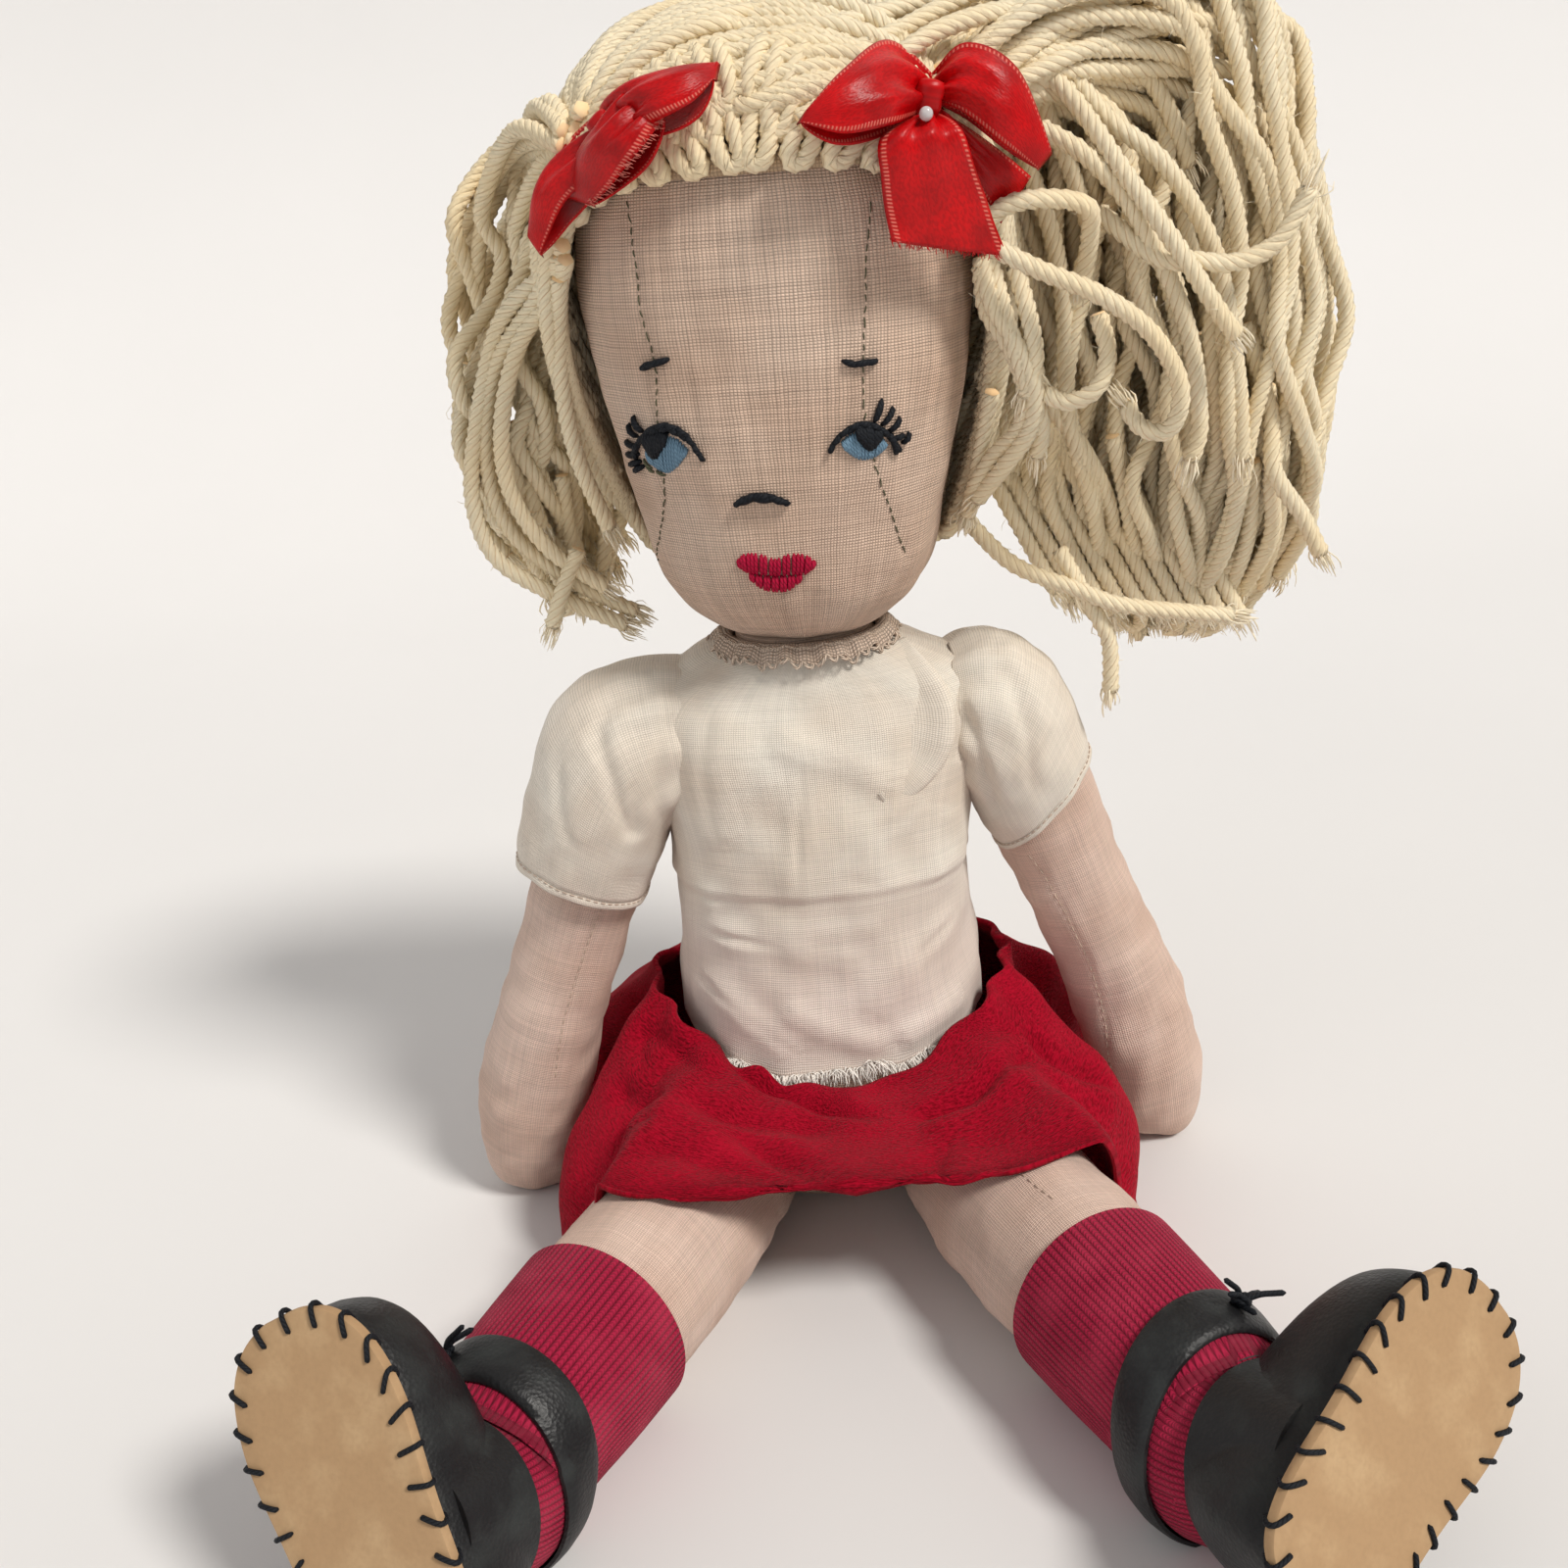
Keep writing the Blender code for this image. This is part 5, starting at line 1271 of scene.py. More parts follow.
def ribbon_piece(first, second, loops, seed):
    """A strip of ribbon between two edges. A loop turns round at its far end and comes back behind."""
    a, b = (smooth_rows([over(*p) for p in edge], 9) for edge in (first, second))
    count = min(len(a), len(b))
    a, b = a[:count], b[:count]
    t = np.linspace(0, 1, 25)[None, :]
    sheet = a[:, None] * (1 - t[..., None]) + b[:, None] * t[..., None]
    normal = unit(np.cross(b[count // 2] - a[count // 2], a[-1] - a[0]))
    if normal[1] > 0:
        normal = -normal
    along = np.linspace(0, 1, count)[:, None]
    bulge = (0.0026 if loops else 0.0014) * np.sin(np.pi * along**0.8) * np.sin(np.pi * t) ** 0.8
    pleat = 0.0010 * np.sin((t + 0.15 * along) * 5.2 * np.pi + seed) * peak(along, 0.40)
    ripple = 0.0004 * waves(sheet, 0.012, 60 + seed) * along
    front = sheet + (bulge + pleat + ripple)[..., None] * normal
    grid = front
    if loops:
        depth = 0.0036 * np.sin(np.pi * np.clip(along * 0.9 + 0.1, 0, 1))[..., None]
        behind = sheet - (np.abs(bulge) * 0.3)[..., None] * normal - depth * normal
        fold = sheet[-1] + (sheet[-1] - sheet[-2]) * 0.7 + (bulge[-1] * 0.5 - 0.0006)[:, None] * normal
        grid = np.concatenate([front, fold[None], behind[::-1]])
    uv = np.stack(np.meshgrid(t[0], reaches(grid)), -1)
    return thicken(surface("ribbon", grid, around=False, uv=uv), 0.00035, 0), front


def join(name, items):
    """One object from several, in the order given."""
    meshes = bmesh.new()
    for item in items:
        meshes.from_mesh(item.data)
        bpy.data.objects.remove(item)
    return from_bmesh(name, meshes)

# the knot's middle as a pixel and a lift, and its lean
KNOTS = {LEFT: ((948, 100, 11), 0.25), RIGHT: ((618, 132, 8), -0.7)}
KNOT_SHARES = ((-1, 0.35), (-0.9, 0.85), (-0.4, 1.0), (0, 0.93), (0.4, 1.0), (0.9, 0.85), (1, 0.35))
PEARL_PLACE = (945, 116, 13.5)
PEARL_RADIUS = 0.0011


def make_knot(side):
    middle, tilt = KNOTS[side]
    axis = Vector((math.sin(tilt), -0.1, math.cos(tilt))).normalized()
    side_way = axis.cross(Y).normalized()
    front_way = axis.cross(side_way).normalized()
    rows = []
    for offset, half in KNOT_SHARES:
        centre = over(*middle) + axis * offset * 0.0028
        rows.append(ring(centre, side_way, front_way, 0.0022 * half, 0.0020 * half, 20, 2.2))
    return surface("knot", rows)


def make_bow(side):
    name = SIDES[side]
    pieces, fronts = zip(*(ribbon_piece(*piece, k + side) for k, piece in enumerate(BOWS[side])))
    bow = join(name + "_satin_bow", [*pieces, make_knot(side)])
    rng = np.random.default_rng(90 + side)
    frays = []
    cut = fronts[-1] if side == LEFT else fronts[1].swapaxes(0, 1)
    for root, before in zip(cut[-1], cut[-2]):
        for _ in range(4):
            start_point = Vector(root) + Vector(rng.normal(0, 0.0003, 3))
            way = (Vector(root) - Vector(before)).normalized()
            tip = start_point + way * rng.uniform(0.0002, 0.0008) + Vector(rng.normal(0, 0.00025, 3))
            frays.append([start_point - way * 0.0004, start_point.lerp(tip, 0.5), tip])
    fray = tubes(name + "_bow_fray", frays, 0.00009, 4, 0.0005)
    show(fray, RED_FRAY if side == LEFT else PINK_FRAY, "red_satin", "head")
    show(
        bow, SATIN, "red_satin", "head", name + "_bow",
        sheet=(RIBBON_WIDTH, RIBBON_LENGTH[side]), held="folded", rests_on="hair_cap_yarn", with_pieces=fray,
    )
    if side == LEFT:
        make_pin()


def make_pin():
    bead = bmesh.new()
    bmesh.ops.create_uvsphere(bead, u_segments=24, v_segments=16, radius=PEARL_RADIUS)
    bmesh.ops.translate(bead, verts=bead.verts, vec=over(*PEARL_PLACE))
    show(from_bmesh("bow_pin_pearl", bead), PEARL, "pearl", "head", "bow_pin")


# Torso, shirt and trim


def make_torso():
    grid = upright(smooth_rows(TORSO_SHARES, 6), TORSO_BASE, TORSO_SIZE, 0, 120, TORSO_POWER)
    grid = above(pushed(grid, lumps(grid, (0.0003, 0.02, 5))))
    show(surface("torso_muslin", grid), MUSLIN, "muslin", "torso", "torso", padded=0.85)


BODICE_FOLDS = (
    (((702, 908), (770, 922), (850, 922), (940, 905), (982, 892)), 0.0009, 0.0008),
    (((780, 752), (867, 784), (925, 800)), 0.0032, 0.0012),
    (((798, 1024), (858, 1056), (913, 1060)), 0.0034, 0.0011),
    (((980, 1010), (952, 1036), (913, 1060)), 0.0034, 0.0011),
    (((712, 985), (760, 1030), (820, 1075)), 0.0032, 0.0013),
    (((720, 945), (800, 968), (880, 985)), 0.0022, 0.0012),
    (((975, 930), (930, 980), (880, 1040)), 0.0020, 0.0014),
    (((728, 720), (718, 790), (735, 870)), 0.0022, 0.0018),
    (((965, 820), (955, 860), (962, 890)), 0.0020, 0.0014),
    (((760, 940), (830, 950), (900, 945)), 0.0016, 0.0010),
    (((740, 1060), (800, 1085), (870, 1092)), 0.0016, 0.0011),
    (((945, 815), (900, 850), (880, 900)), 0.0018, 0.0016),
    (((968, 700), (970, 740), (964, 780)), -0.0022, 0.0024),
)
PLEAT_PIXELS = ((918, 655), (938, 684), (952, 715), (954, 745), (947, 775), (930, 802), (906, 824))
PLEAT_SHAPE = (
    (-7.2, -1.2), (-5.6, -0.3), (-3.8, 0.6), (-2.0, 1.8), (-0.6, 3.0), (0.8, 3.8),
    (2.0, 3.8), (2.7, 3.1), (2.8, 2.1), (2.2, 1.1), (1.2, 0.3), (0.2, -0.8),
)
def make_pleat(tree):
    """The pinched fold of the shirt at the doll's left, rolled towards the sleeve."""
    line = [Vector(point) for point in traced(tree, PLEAT_PIXELS, 0.0006)[0]]
    outward = (X * 0.35 - Y).normalized()
    shape = smooth_rows(PLEAT_SHAPE, 4)
    rows = []
    for i, point in enumerate(line):
        share = i / (len(line) - 1)
        size = ease_in(share, 0.0, 0.40) * (1 - ease_in(share, 0.50, 1.0))
        along = (line[min(i + 1, len(line) - 1)] - line[max(i - 1, 0)]).normalized()
        across = outward.cross(along).normalized()
        across = across if across.x > 0 else -across
        wide = 0.001 * (0.45 + 0.55 * size)
        rows.append([point + across * a * wide + outward * (n * size - 0.8) * 0.001 for a, n in shape])
    return thicken(surface("shirt_pinched_pleat", np.array(rows, float), around=False), SHIRT_THICKNESS)


def hem_fibres(edge, rng):
    """Loose fibres that hang from the front of the shirt's cut edge."""
    fibres = []
    for _ in range(520):
        point = edge[int(rng.uniform(172, 250))]
        root = Vector(point) + Z * 0.0006
        outward = Vector((point[0] * 0.4, point[1], 0)).normalized()
        out, down = rng.uniform(0.0005, 0.0030), rng.uniform(0.0005, 0.0036)
        tip = root + outward * out - Z * down + X * rng.normal(0, 0.0014)
        middle = root.lerp(tip, 0.5) + Z * rng.uniform(0.0001, 0.0009)
        fibres.append(([root, middle, tip], rng.uniform(0.00008, 0.00017)))
    return fibres


def make_bodice(trim):
    fine = smooth_rows(TORSO_SHARES, 20)
    heights = np.linspace(SHIRT_HEM, 0.1214, 150)
    rows = np.stack([np.interp(heights / 0.124, fine[:, 0], fine[:, k]) for k in range(3)], 1)
    grid = np.concatenate([upright([row], TORSO_BASE, TORSO_SIZE, 0, 280, TORSO_POWER) for row in rows])
    low = np.clip((0.060 - heights) / 0.0185, 0, 1)[:, None]
    lap = low * np.clip(-grid[..., 1] / 0.022, 0, 1) ** 2
    grid[..., 2] = heights[:, None] - 0.0045 * lap
    tree = form_tree(pushed(grid, 0.002))
    z = grid[..., 2]
    ease = 0.0016 + 0.0012 * np.clip((0.115 - z) / 0.075, 0, 1) + 0.0010 * lap
    drape = 0.0005 * waves(grid * (1, 1, 0.45), 0.020, 8) + 0.00028 * waves(grid * (1, 1, 0.6), 0.008, 9)
    above_seam = z - SHIRT_SEAM
    blouse = 0.0011 * np.clip(above_seam / 0.002, 0, 1) * np.exp(-np.clip(above_seam, 0, 1) / 0.010)
    folds = creased(grid, BODICE_FOLDS, tree)
    grid = pushed(grid, np.maximum(ease + drape + blouse + folds, 0.0007))
    grid[:3, :, 2] += np.array([1, 0.7, 0.3])[:, None] * 0.0007 * waves(grid[:1], 0.006, 12)[0]
    bodice = thicken(surface("shirt_bodice_cotton", grid, caps=False), SHIRT_THICKNESS)
    fibres = hem_fibres(grid[0], np.random.default_rng(5))
    fringe = show(tubes("shirt_frayed_hem", fibres, 0.0001, 4, 0.0009), WHITE_THREAD, "shirt_cotton", "torso")
    pleat = show(make_pleat(tree_of(bodice)), SHIRT, "shirt_cotton", "torso")
    show(
        bodice, SHIRT, "shirt_cotton", "torso", "shirt_bodice",
        sheet=BODICE_CLOTH, area=BODICE_AREA, held="gathered", rests_on="torso_muslin",
        with_pieces=(fringe, pleat, *trim),
    )

# the trim's reach and height from neck to edge, and how far it ruffles
TRIM_ROWS = (
    (0.0006, 0.1222, 0.0), (0.0012, 0.1234, 0.0), (0.0022, 0.1236, 0.0002),
    (0.0032, 0.1230, 0.0005), (0.0040, 0.1220, 0.0008), (0.0045, 0.1211, 0.0010),
)
TRIM_COLUMNS = 300
SCALLOP_COUNT = 50
RUFFLE_COUNT = 13


def make_trim():
    """A crocheted band laid round the neck, ruffled towards an edge of small thread arches."""
    turn = np.linspace(0, 2 * math.pi, TRIM_COLUMNS, endpoint=False)
    half_x, half_y = TORSO_SIZE[0] / 2 * 0.47, TORSO_SIZE[1] / 2 * 0.60
    rows = []
    for out, high, ruffle in smooth_rows(TRIM_ROWS, 5)[::-1]:
        wave = ruffle * (np.sin(RUFFLE_COUNT * turn) + 0.6 * np.sin((2 * RUFFLE_COUNT + 5) * turn + 1))
        reach = out + 0.35 * wave
        x, y = (half_x + reach) * np.cos(turn), (half_y + reach) * np.sin(turn)
        rows.append(np.stack([x, y, high + 0.7 * wave], -1))
    grid = np.array(rows)
    item = thicken(surface("neck_trim_crochet", grid, caps=False), 0.0005, 0)
    band_piece = show(item, CROCHET, "lace_cotton", "torso", "neck_trim")
    paths = []
    outward = unit(grid[0] - grid[3])
    for line, size, count in ((grid[0], 0.0013, SCALLOP_COUNT), (grid[12], 0.0005, SCALLOP_COUNT * 2)):
        for i in range(count):
            points = []
            for k in range(7):
                c = int((TRIM_COLUMNS * i / count + (k / 6) * TRIM_COLUMNS / count * 1.15) % TRIM_COLUMNS)
                points.append(line[c] + outward[c] * size * math.sin(math.pi * k / 6) + (0, 0, 0.0004))
            paths.append(points)
    arches = tubes("neck_trim_arches", paths, 0.00030, 6, 0.0005)
    return band_piece, show(arches, LACE, "lace_cotton", "torso")


# Arms and sleeves


def arm_path(side):
    """Points down the middle of the arm, with half its thickness twice."""
    path = []
    for drop, spread, thick in smooth_rows(ARM_SHARES, 12):
        centre = Vector((side * (SHOULDER.x + ARM_SPREAD * spread), 0, SHOULDER.z - ARM_DROP * drop))
        path.append((centre, ARM_THICKNESS / 2 * thick, ARM_THICKNESS / 2 * thick))
    return path


ARM_SEAM_PIXELS = {
    RIGHT: ((614, 925), (600, 962), (584, 1010), (572, 1060), (566, 1105)),
    LEFT: ((1050, 872), (1082, 922), (1112, 985), (1128, 1045), (1136, 1110)),
}
LEG_SEAM_PIXELS = {
    RIGHT: ((588, 1215), (575, 1250), (562, 1290)),
    LEFT: ((1022, 1180), (1052, 1206), (1080, 1228)),
}
def sewn_line(name, item, pixels, body):
    """Small stitches where a limb's cloth is sewn together."""
    tree = tree_of(item)
    line, _ = traced(tree, pixels, 0.0007)
    places = [stitch_on(tree, line[i], line[i + 2]) for i in range(0, len(line) - 3, 3)]
    show(stitches(name, places, SEAM_THREAD), PALE_THREAD, "muslin", body)


def make_arm(side):
    body = SIDES[side] + "_arm"
    grid = along_path(arm_path(side), 96, 2, Y)
    seam = creased(grid, ((ARM_SEAM_PIXELS[side], 0.0004, 0.0008),))
    uneven = lumps(grid, (0.00035, 0.016, 20 + side), (0.0002, 0.007, 22 + side))
    item = surface(body + "_muslin", above(pushed(grid, uneven + seam)))
    show(item, LIMB, "muslin", body, body, padded=0.85)
    sewn_line(body + "_seam", item, ARM_SEAM_PIXELS[side], body)

# middle across and up, then half height, half depth and tilt
SLEEVE_ROWS = {
    RIGHT: (
        (0.0215, 0.1030, 0.0140, 0.0140, 0.00),
        (0.0285, 0.1028, 0.0160, 0.0153, 0.10),
        (0.0350, 0.1010, 0.0176, 0.0163, 0.30),
        (0.0402, 0.0966, 0.0178, 0.0168, 0.56),
        (0.0444, 0.0895, 0.0163, 0.0165, 0.86),
        (0.0468, 0.0832, 0.0150, 0.0158, 1.02),
        (0.0485, 0.0780, 0.0142, 0.0150, 1.12),
        (0.0497, 0.0740, 0.0136, 0.0144, 1.16),
    ),
    LEFT: (
        (0.0275, 0.1030, 0.0138, 0.0118, 0.05),
        (0.0310, 0.1028, 0.0162, 0.0143, 0.12),
        (0.0350, 0.1014, 0.0177, 0.0158, 0.26),
        (0.0390, 0.0980, 0.0178, 0.0163, 0.44),
        (0.0418, 0.0936, 0.0164, 0.0161, 0.60),
        (0.0434, 0.0895, 0.0151, 0.0154, 0.70),
        (0.0448, 0.0860, 0.0141, 0.0147, 0.76),
        (0.0457, 0.0832, 0.0136, 0.0141, 0.78),
    ),
}
SLEEVE_FOLDS = {
    RIGHT: (
        (((608, 735), (625, 800), (645, 850), (672, 885)), 0.0016, 0.0017),
        (((650, 650), (622, 720), (606, 780)), 0.0010, 0.0022),
        (((570, 775), (572, 830), (588, 870)), 0.0009, 0.0017),
        (((690, 700), (672, 770), (668, 840)), 0.0010, 0.0018),
    ),
    LEFT: (
        (((985, 640), (1030, 690), (1060, 760)), 0.0010, 0.0020),
        (((980, 700), (1000, 770), (1020, 830)), 0.0014, 0.0016),
        (((1030, 700), (1050, 760), (1052, 810)), 0.0008, 0.0015),
        (((1000, 600), (1032, 650), (1050, 690)), 0.0007, 0.0018),
    ),
}
SLEEVE_COLUMNS = 170
SLEEVE_SEAM = 0.93


def make_sleeve(side):
    name = SIDES[side]
    rings = []
    for x, z, half_up, half_deep, tilt in smooth_rows(SLEEVE_ROWS[side], 10):
        up = Vector((side * math.sin(tilt), 0, math.cos(tilt)))
        rings.append(ring((side * x, 0, z), up, Y * -side, half_up, half_deep, SLEEVE_COLUMNS, 2.1))
    grid = np.array(rings)
    share = np.linspace(0, 1, len(grid))[:, None]
    turn = np.linspace(0, 2 * math.pi, SLEEVE_COLUMNS, endpoint=False)[None]
    gather = 0.0005 * np.sin(11 * turn + side) * peak(share, 0.25)
    drape = 0.0004 * waves(grid * (1, 1, 0.6), 0.018, 31 + side) + 0.0002 * waves(grid, 0.008, 33 + side)
    hem = 0.0003 * ease_in(share, 0.94, 0.96) - 0.0004 * peak(share - SLEEVE_SEAM, 0.010)
    folds = np.clip(creased(grid, SLEEVE_FOLDS[side]), -0.0016, 0.0016)
    grid = pushed(grid, gather + drape + hem + folds)
    sleeve = thicken(surface(name + "_sleeve_cotton", grid, caps=False), SHIRT_THICKNESS)
    row = int(len(grid) * SLEEVE_SEAM)
    normals = grid_normals(grid)[row]
    places = []
    for c in range(0, SLEEVE_COLUMNS - 2, 3):
        way = Vector(normals[c])
        places.append((Vector(grid[row, c]) + way * 0.0001, Vector(grid[row, c + 2]) + way * 0.0001, way))
    sewn = stitches(name + "_sleeve_stitches", places, 0.00011, 4)
    blend = ("torso", name + "_arm", Vector((side * 0.024, 0, 0.106)), Vector((side * 0.042, 0, 0.090)))
    show(sewn, PALE_THREAD, "shirt_cotton", blend)
    show(
        sleeve, SHIRT, "shirt_cotton", blend, name + "_sleeve",
        sheet=SLEEVE_CLOTH[side], held="gathered", rests_on=name + "_arm_muslin", with_pieces=sewn,
    )


# Skirt

SKIRT_FOLDS = (
    (((702, 1010), (752, 1090), (825, 1130), (905, 1146)), 0.0038, 0.0024),
    (((570, 1070), (640, 1120), (740, 1150), (860, 1160)), 0.0030, 0.0028),
    (((1048, 1000), (1085, 1035), (1140, 1050)), 0.0050, 0.0022),
    (((1040, 1050), (1080, 1090), (1130, 1110)), 0.0036, 0.0026),
    (((930, 1145), (1000, 1115), (1050, 1075)), 0.0036, 0.0022),
    (((600, 1010), (590, 1070), (600, 1130)), 0.0026, 0.0034),
    (((640, 1000), (660, 1060), (720, 1100)), 0.0024, 0.0024),
)
def make_skirt():
    width, depth, high, dip = SKIRT_WAIST
    hem_width, hem_front, hem_back = SKIRT_HEM
    turn = np.linspace(0, 2 * math.pi, 360, endpoint=False)[None]
    drop = np.linspace(1, 0, 80)[:, None]
    cosine, sine = np.cos(turn), np.sin(turn)
    front = np.maximum(-sine, 0)
    sag = SKIRT_SAG * front**3
    waist = np.stack([width / 2 * cosine, depth / 2 * sine - sag * 0.6, high - dip * front**2 - sag], -1)
    reach = np.where(sine < 0, hem_front, hem_back)
    x = hem_width / 2 * np.sign(cosine) * np.abs(cosine) ** SKIRT_CORNER
    y = reach * np.sign(sine) * np.abs(sine) ** SKIRT_CORNER
    z = SKIRT_LIFT + (LEG_THICKNESS + 0.0009 - SKIRT_LIFT) * ease_in(front, 0.62, 0.80)
    hem = np.stack([x, y, z], -1)
    free = ease_in(np.abs(sine), 0, 0.30)
    swell = free * 0.0100 * np.sin(np.pi * drop) - (1 - free) * 0.0118 * drop
    ripple = 0.0011 * drop * np.cos(9 * turn)
    gather = 0.0010 * np.cos(17 * turn + 1.3 * np.sin(3 * turn)) * peak(drop, 0.30)
    outward = np.stack([cosine, sine, np.zeros_like(cosine)], -1)
    grid = waist * (1 - drop[..., None]) + hem * drop[..., None]
    grid = grid + outward * (swell + ripple + gather)[..., None]
    folds = creased(grid, SKIRT_FOLDS) + 0.0004 * waves(grid, 0.012, 42)
    folds += 0.0010 * waves(grid * (1, 1, 0.5), 0.030, 41) * np.sin(np.pi * np.clip(drop * 0.9 + 0.1, 0, 1))
    edges = 0.0006 * peak(1 - drop, 0.03) + 0.0007 * peak(drop, 0.035)
    grid = above(pushed(grid, folds + edges), 0.0004)
    item = thicken(surface("skirt_crepe", grid, caps=False), 0.0011, 0)
    show(
        item, CREPE, "crimson_crepe", "torso", "skirt",
        sheet=SKIRT_CLOTH, area=SKIRT_AREA, held="draped", rests_on=("left_leg_muslin", "right_leg_muslin"),
    )


# Legs, socks and shoes


def hip_point(side):
    return Vector((side * HIP.x, HIP.y, HIP.z))


def leg_way(side):
    return Vector((side * math.sin(LEG_SPLAY[side]), -math.cos(LEG_SPLAY[side]), 0))


def foot_axes(side):
    """The foot's toe, outward and sole directions."""
    turn = Matrix.Rotation(side * FOOT_TURN[side], 3, "Z")
    level = turn @ -Y
    outward = turn @ (X * side)
    toe = Z * math.cos(FOOT_LEAN) - level * math.sin(FOOT_LEAN)
    sole = level * math.cos(FOOT_LEAN) + Z * math.sin(FOOT_LEAN)
    roll = FOOT_ROLL[side]
    rolled = outward * math.cos(roll) - toe * math.sin(roll)
    return toe * math.cos(roll) + outward * math.sin(roll), rolled, sole


def foot_layer(share, grow):
    middle = 2 * share - 1
    return grow * middle, grow * math.sqrt(max(1 - abs(middle) ** FOOT_END_POWER, 0))


def sole_outline(steps, grow=UPPER_OUTER + SOLE_MARGIN):
    """The sole's outline as places along the toe and outward directions."""
    rows = smooth_rows(FOOT_SHARES, steps)[:, :2]
    outline = []
    for way, order in ((1, rows), (-1, rows[::-1])):
        for share, wide in order:
            further, thicker = foot_layer(share, grow)
            outline.append((FOOT_LENGTH * share + further, way * (FOOT_WIDTH / 2 * wide + thicker)))
    return outline


def foot_origin(side):
    toe, outward, sole = foot_axes(side)
    ankle = hip_point(side) + leg_way(side) * LEG_REACH
    ankle.z = LEG_THICKNESS / 2 * ANKLE_SHARE - FLOOR_CUT
    origin = ankle - toe * ANKLE_ALONG + sole * ANKLE_ABOVE
    lowest = 0
    for along, across in sole_outline(3):
        for depth in (UPPER_INNER, UPPER_INNER + SOLE_LEATHER):
            lowest = min(lowest, (origin + toe * along + outward * across + sole * depth).z)
    return origin - Z * lowest


def ankle_point(side):
    toe, _, sole = foot_axes(side)
    return foot_origin(side) + toe * ANKLE_ALONG - sole * ANKLE_ABOVE


def ankle_way(side):
    return -(foot_axes(side)[2] + leg_way(side)).normalized()


def leg_path(side, grow, steps):
    """Points down the leg to inside the foot, with half widths and half heights."""
    hip = hip_point(side)
    middle = LEG_THICKNESS / 2 - FLOOR_CUT
    rows = []
    for reach, rise, thick, wide in LEG_SHARES:
        centre = hip + leg_way(side) * LEG_REACH * reach
        centre.z = hip.z + (middle - hip.z) * rise
        half_high = HIP_SEAM / 2 + (LEG_THICKNESS - HIP_SEAM) / 2 * thick
        rows.append((*centre, LEG_THICKNESS / 2 * wide, half_high))
    toe, _, sole = foot_axes(side)
    half = LEG_THICKNESS / 2 * ANKLE_SHARE
    rows.append((*ankle_point(side), half, half))
    inside = foot_origin(side) + toe * ANKLE_ALONG - sole * (FOOT_INSIDE - grow)
    half = FOOT_WIDTH / 2 * ANKLE_SHARE
    rows.append((*inside, half, half))
    return [(Vector(row[:3]), row[3] + grow, row[4] + grow) for row in smooth_rows(rows, steps)]


def leg_grid(side, grow, steps=6, sides=72):
    return along_path(leg_path(side, grow, steps), sides, 2, Z)


def foot_grid(side, grow, steps=5, sides=56):
    toe, outward, sole = foot_axes(side)
    origin = foot_origin(side)
    rings = []
    for share, wide, high in smooth_rows(FOOT_SHARES, steps):
        height = FOOT_HEIGHT * high
        further, thicker = foot_layer(share, grow)
        centre = origin + toe * (FOOT_LENGTH * share + further) - sole * (height / 2)
        half_wide = FOOT_WIDTH / 2 * wide + thicker
        rings.append(ring(centre, outward, sole, half_wide, height / 2 + grow, sides, FOOT_POWER))
    return np.array(rings)


def face_out(item, change=None):
    """The item with its faces turned outward, after a change to its edited mesh."""
    mesh = bmesh.new()
    mesh.from_mesh(item.data)
    if change:
        change(mesh)
    bmesh.ops.recalc_face_normals(mesh, faces=mesh.faces)
    if mesh.calc_volume(signed=True) < 0:
        bmesh.ops.reverse_faces(mesh, faces=mesh.faces)
    mesh.to_mesh(item.data)
    mesh.free()
    return item


def combine(item, tool, operation="DIFFERENCE"):
    settle(item, "BOOLEAN", operation=operation, object=tool)
    bpy.data.objects.remove(tool)
    return item


def leg_form(name, side, grow):
    """Leg and foot as one form, grown by a layer."""
    leg = face_out(surface(name, leg_grid(side, grow)))
    return combine(leg, face_out(surface("foot", foot_grid(side, grow))), "UNION")


def cut_past(item, point, normal):
    """The item without what lies past the point on the normal's side."""
    form = bmesh.new()
    bmesh.ops.create_cube(form, size=0.4)
    turn = normal.to_track_quat("Z", "Y").to_matrix().to_4x4()
    form.transform(Matrix.Translation(point + normal.normalized() * 0.2) @ turn)
    return combine(item, from_bmesh("cutter", form))


def crisp(item, degrees):
    """The item smooth but for its edges."""
    item.data.shade_smooth()
    item.data.set_sharp_from_angle(angle=math.radians(degrees))
    return item


def wrap_uv(item, path, hint):
    """Cloth uvs in metres: round the path and along it."""
    centres = np.array([tuple(p[0]) for p in path])
    tangents = unit(np.gradient(centres, axis=0))
    across = unit(np.cross(np.array(hint)[None], tangents))
    up = np.cross(tangents, across)
    mesh = item.data
    points = np.zeros(len(mesh.vertices) * 3)
    mesh.vertices.foreach_get("co", points)
    points = points.reshape(-1, 3)
    nearest = np.argmin(np.linalg.norm(points[:, None] - centres[None], axis=2), axis=1)
    offset = points - centres[nearest]
    v = reaches(centres)[nearest] + (offset * tangents[nearest]).sum(1)
    turn = np.arctan2((offset * up[nearest]).sum(1), (offset * across[nearest]).sum(1))
    radius = np.mean([p[1] for p in path])
    layer = mesh.uv_layers.active or mesh.uv_layers.new(name="UVMap")
    for face in mesh.polygons:
        turns = [turn[i] for i in face.vertices]
        if max(turns) - min(turns) > math.pi:
            turns = [t + 2 * math.pi if t < 0 else t for t in turns]
        for corner, index, t in zip(face.loop_indices, face.vertices, turns):
            layer.data[corner].uv = (t * radius, v[index])


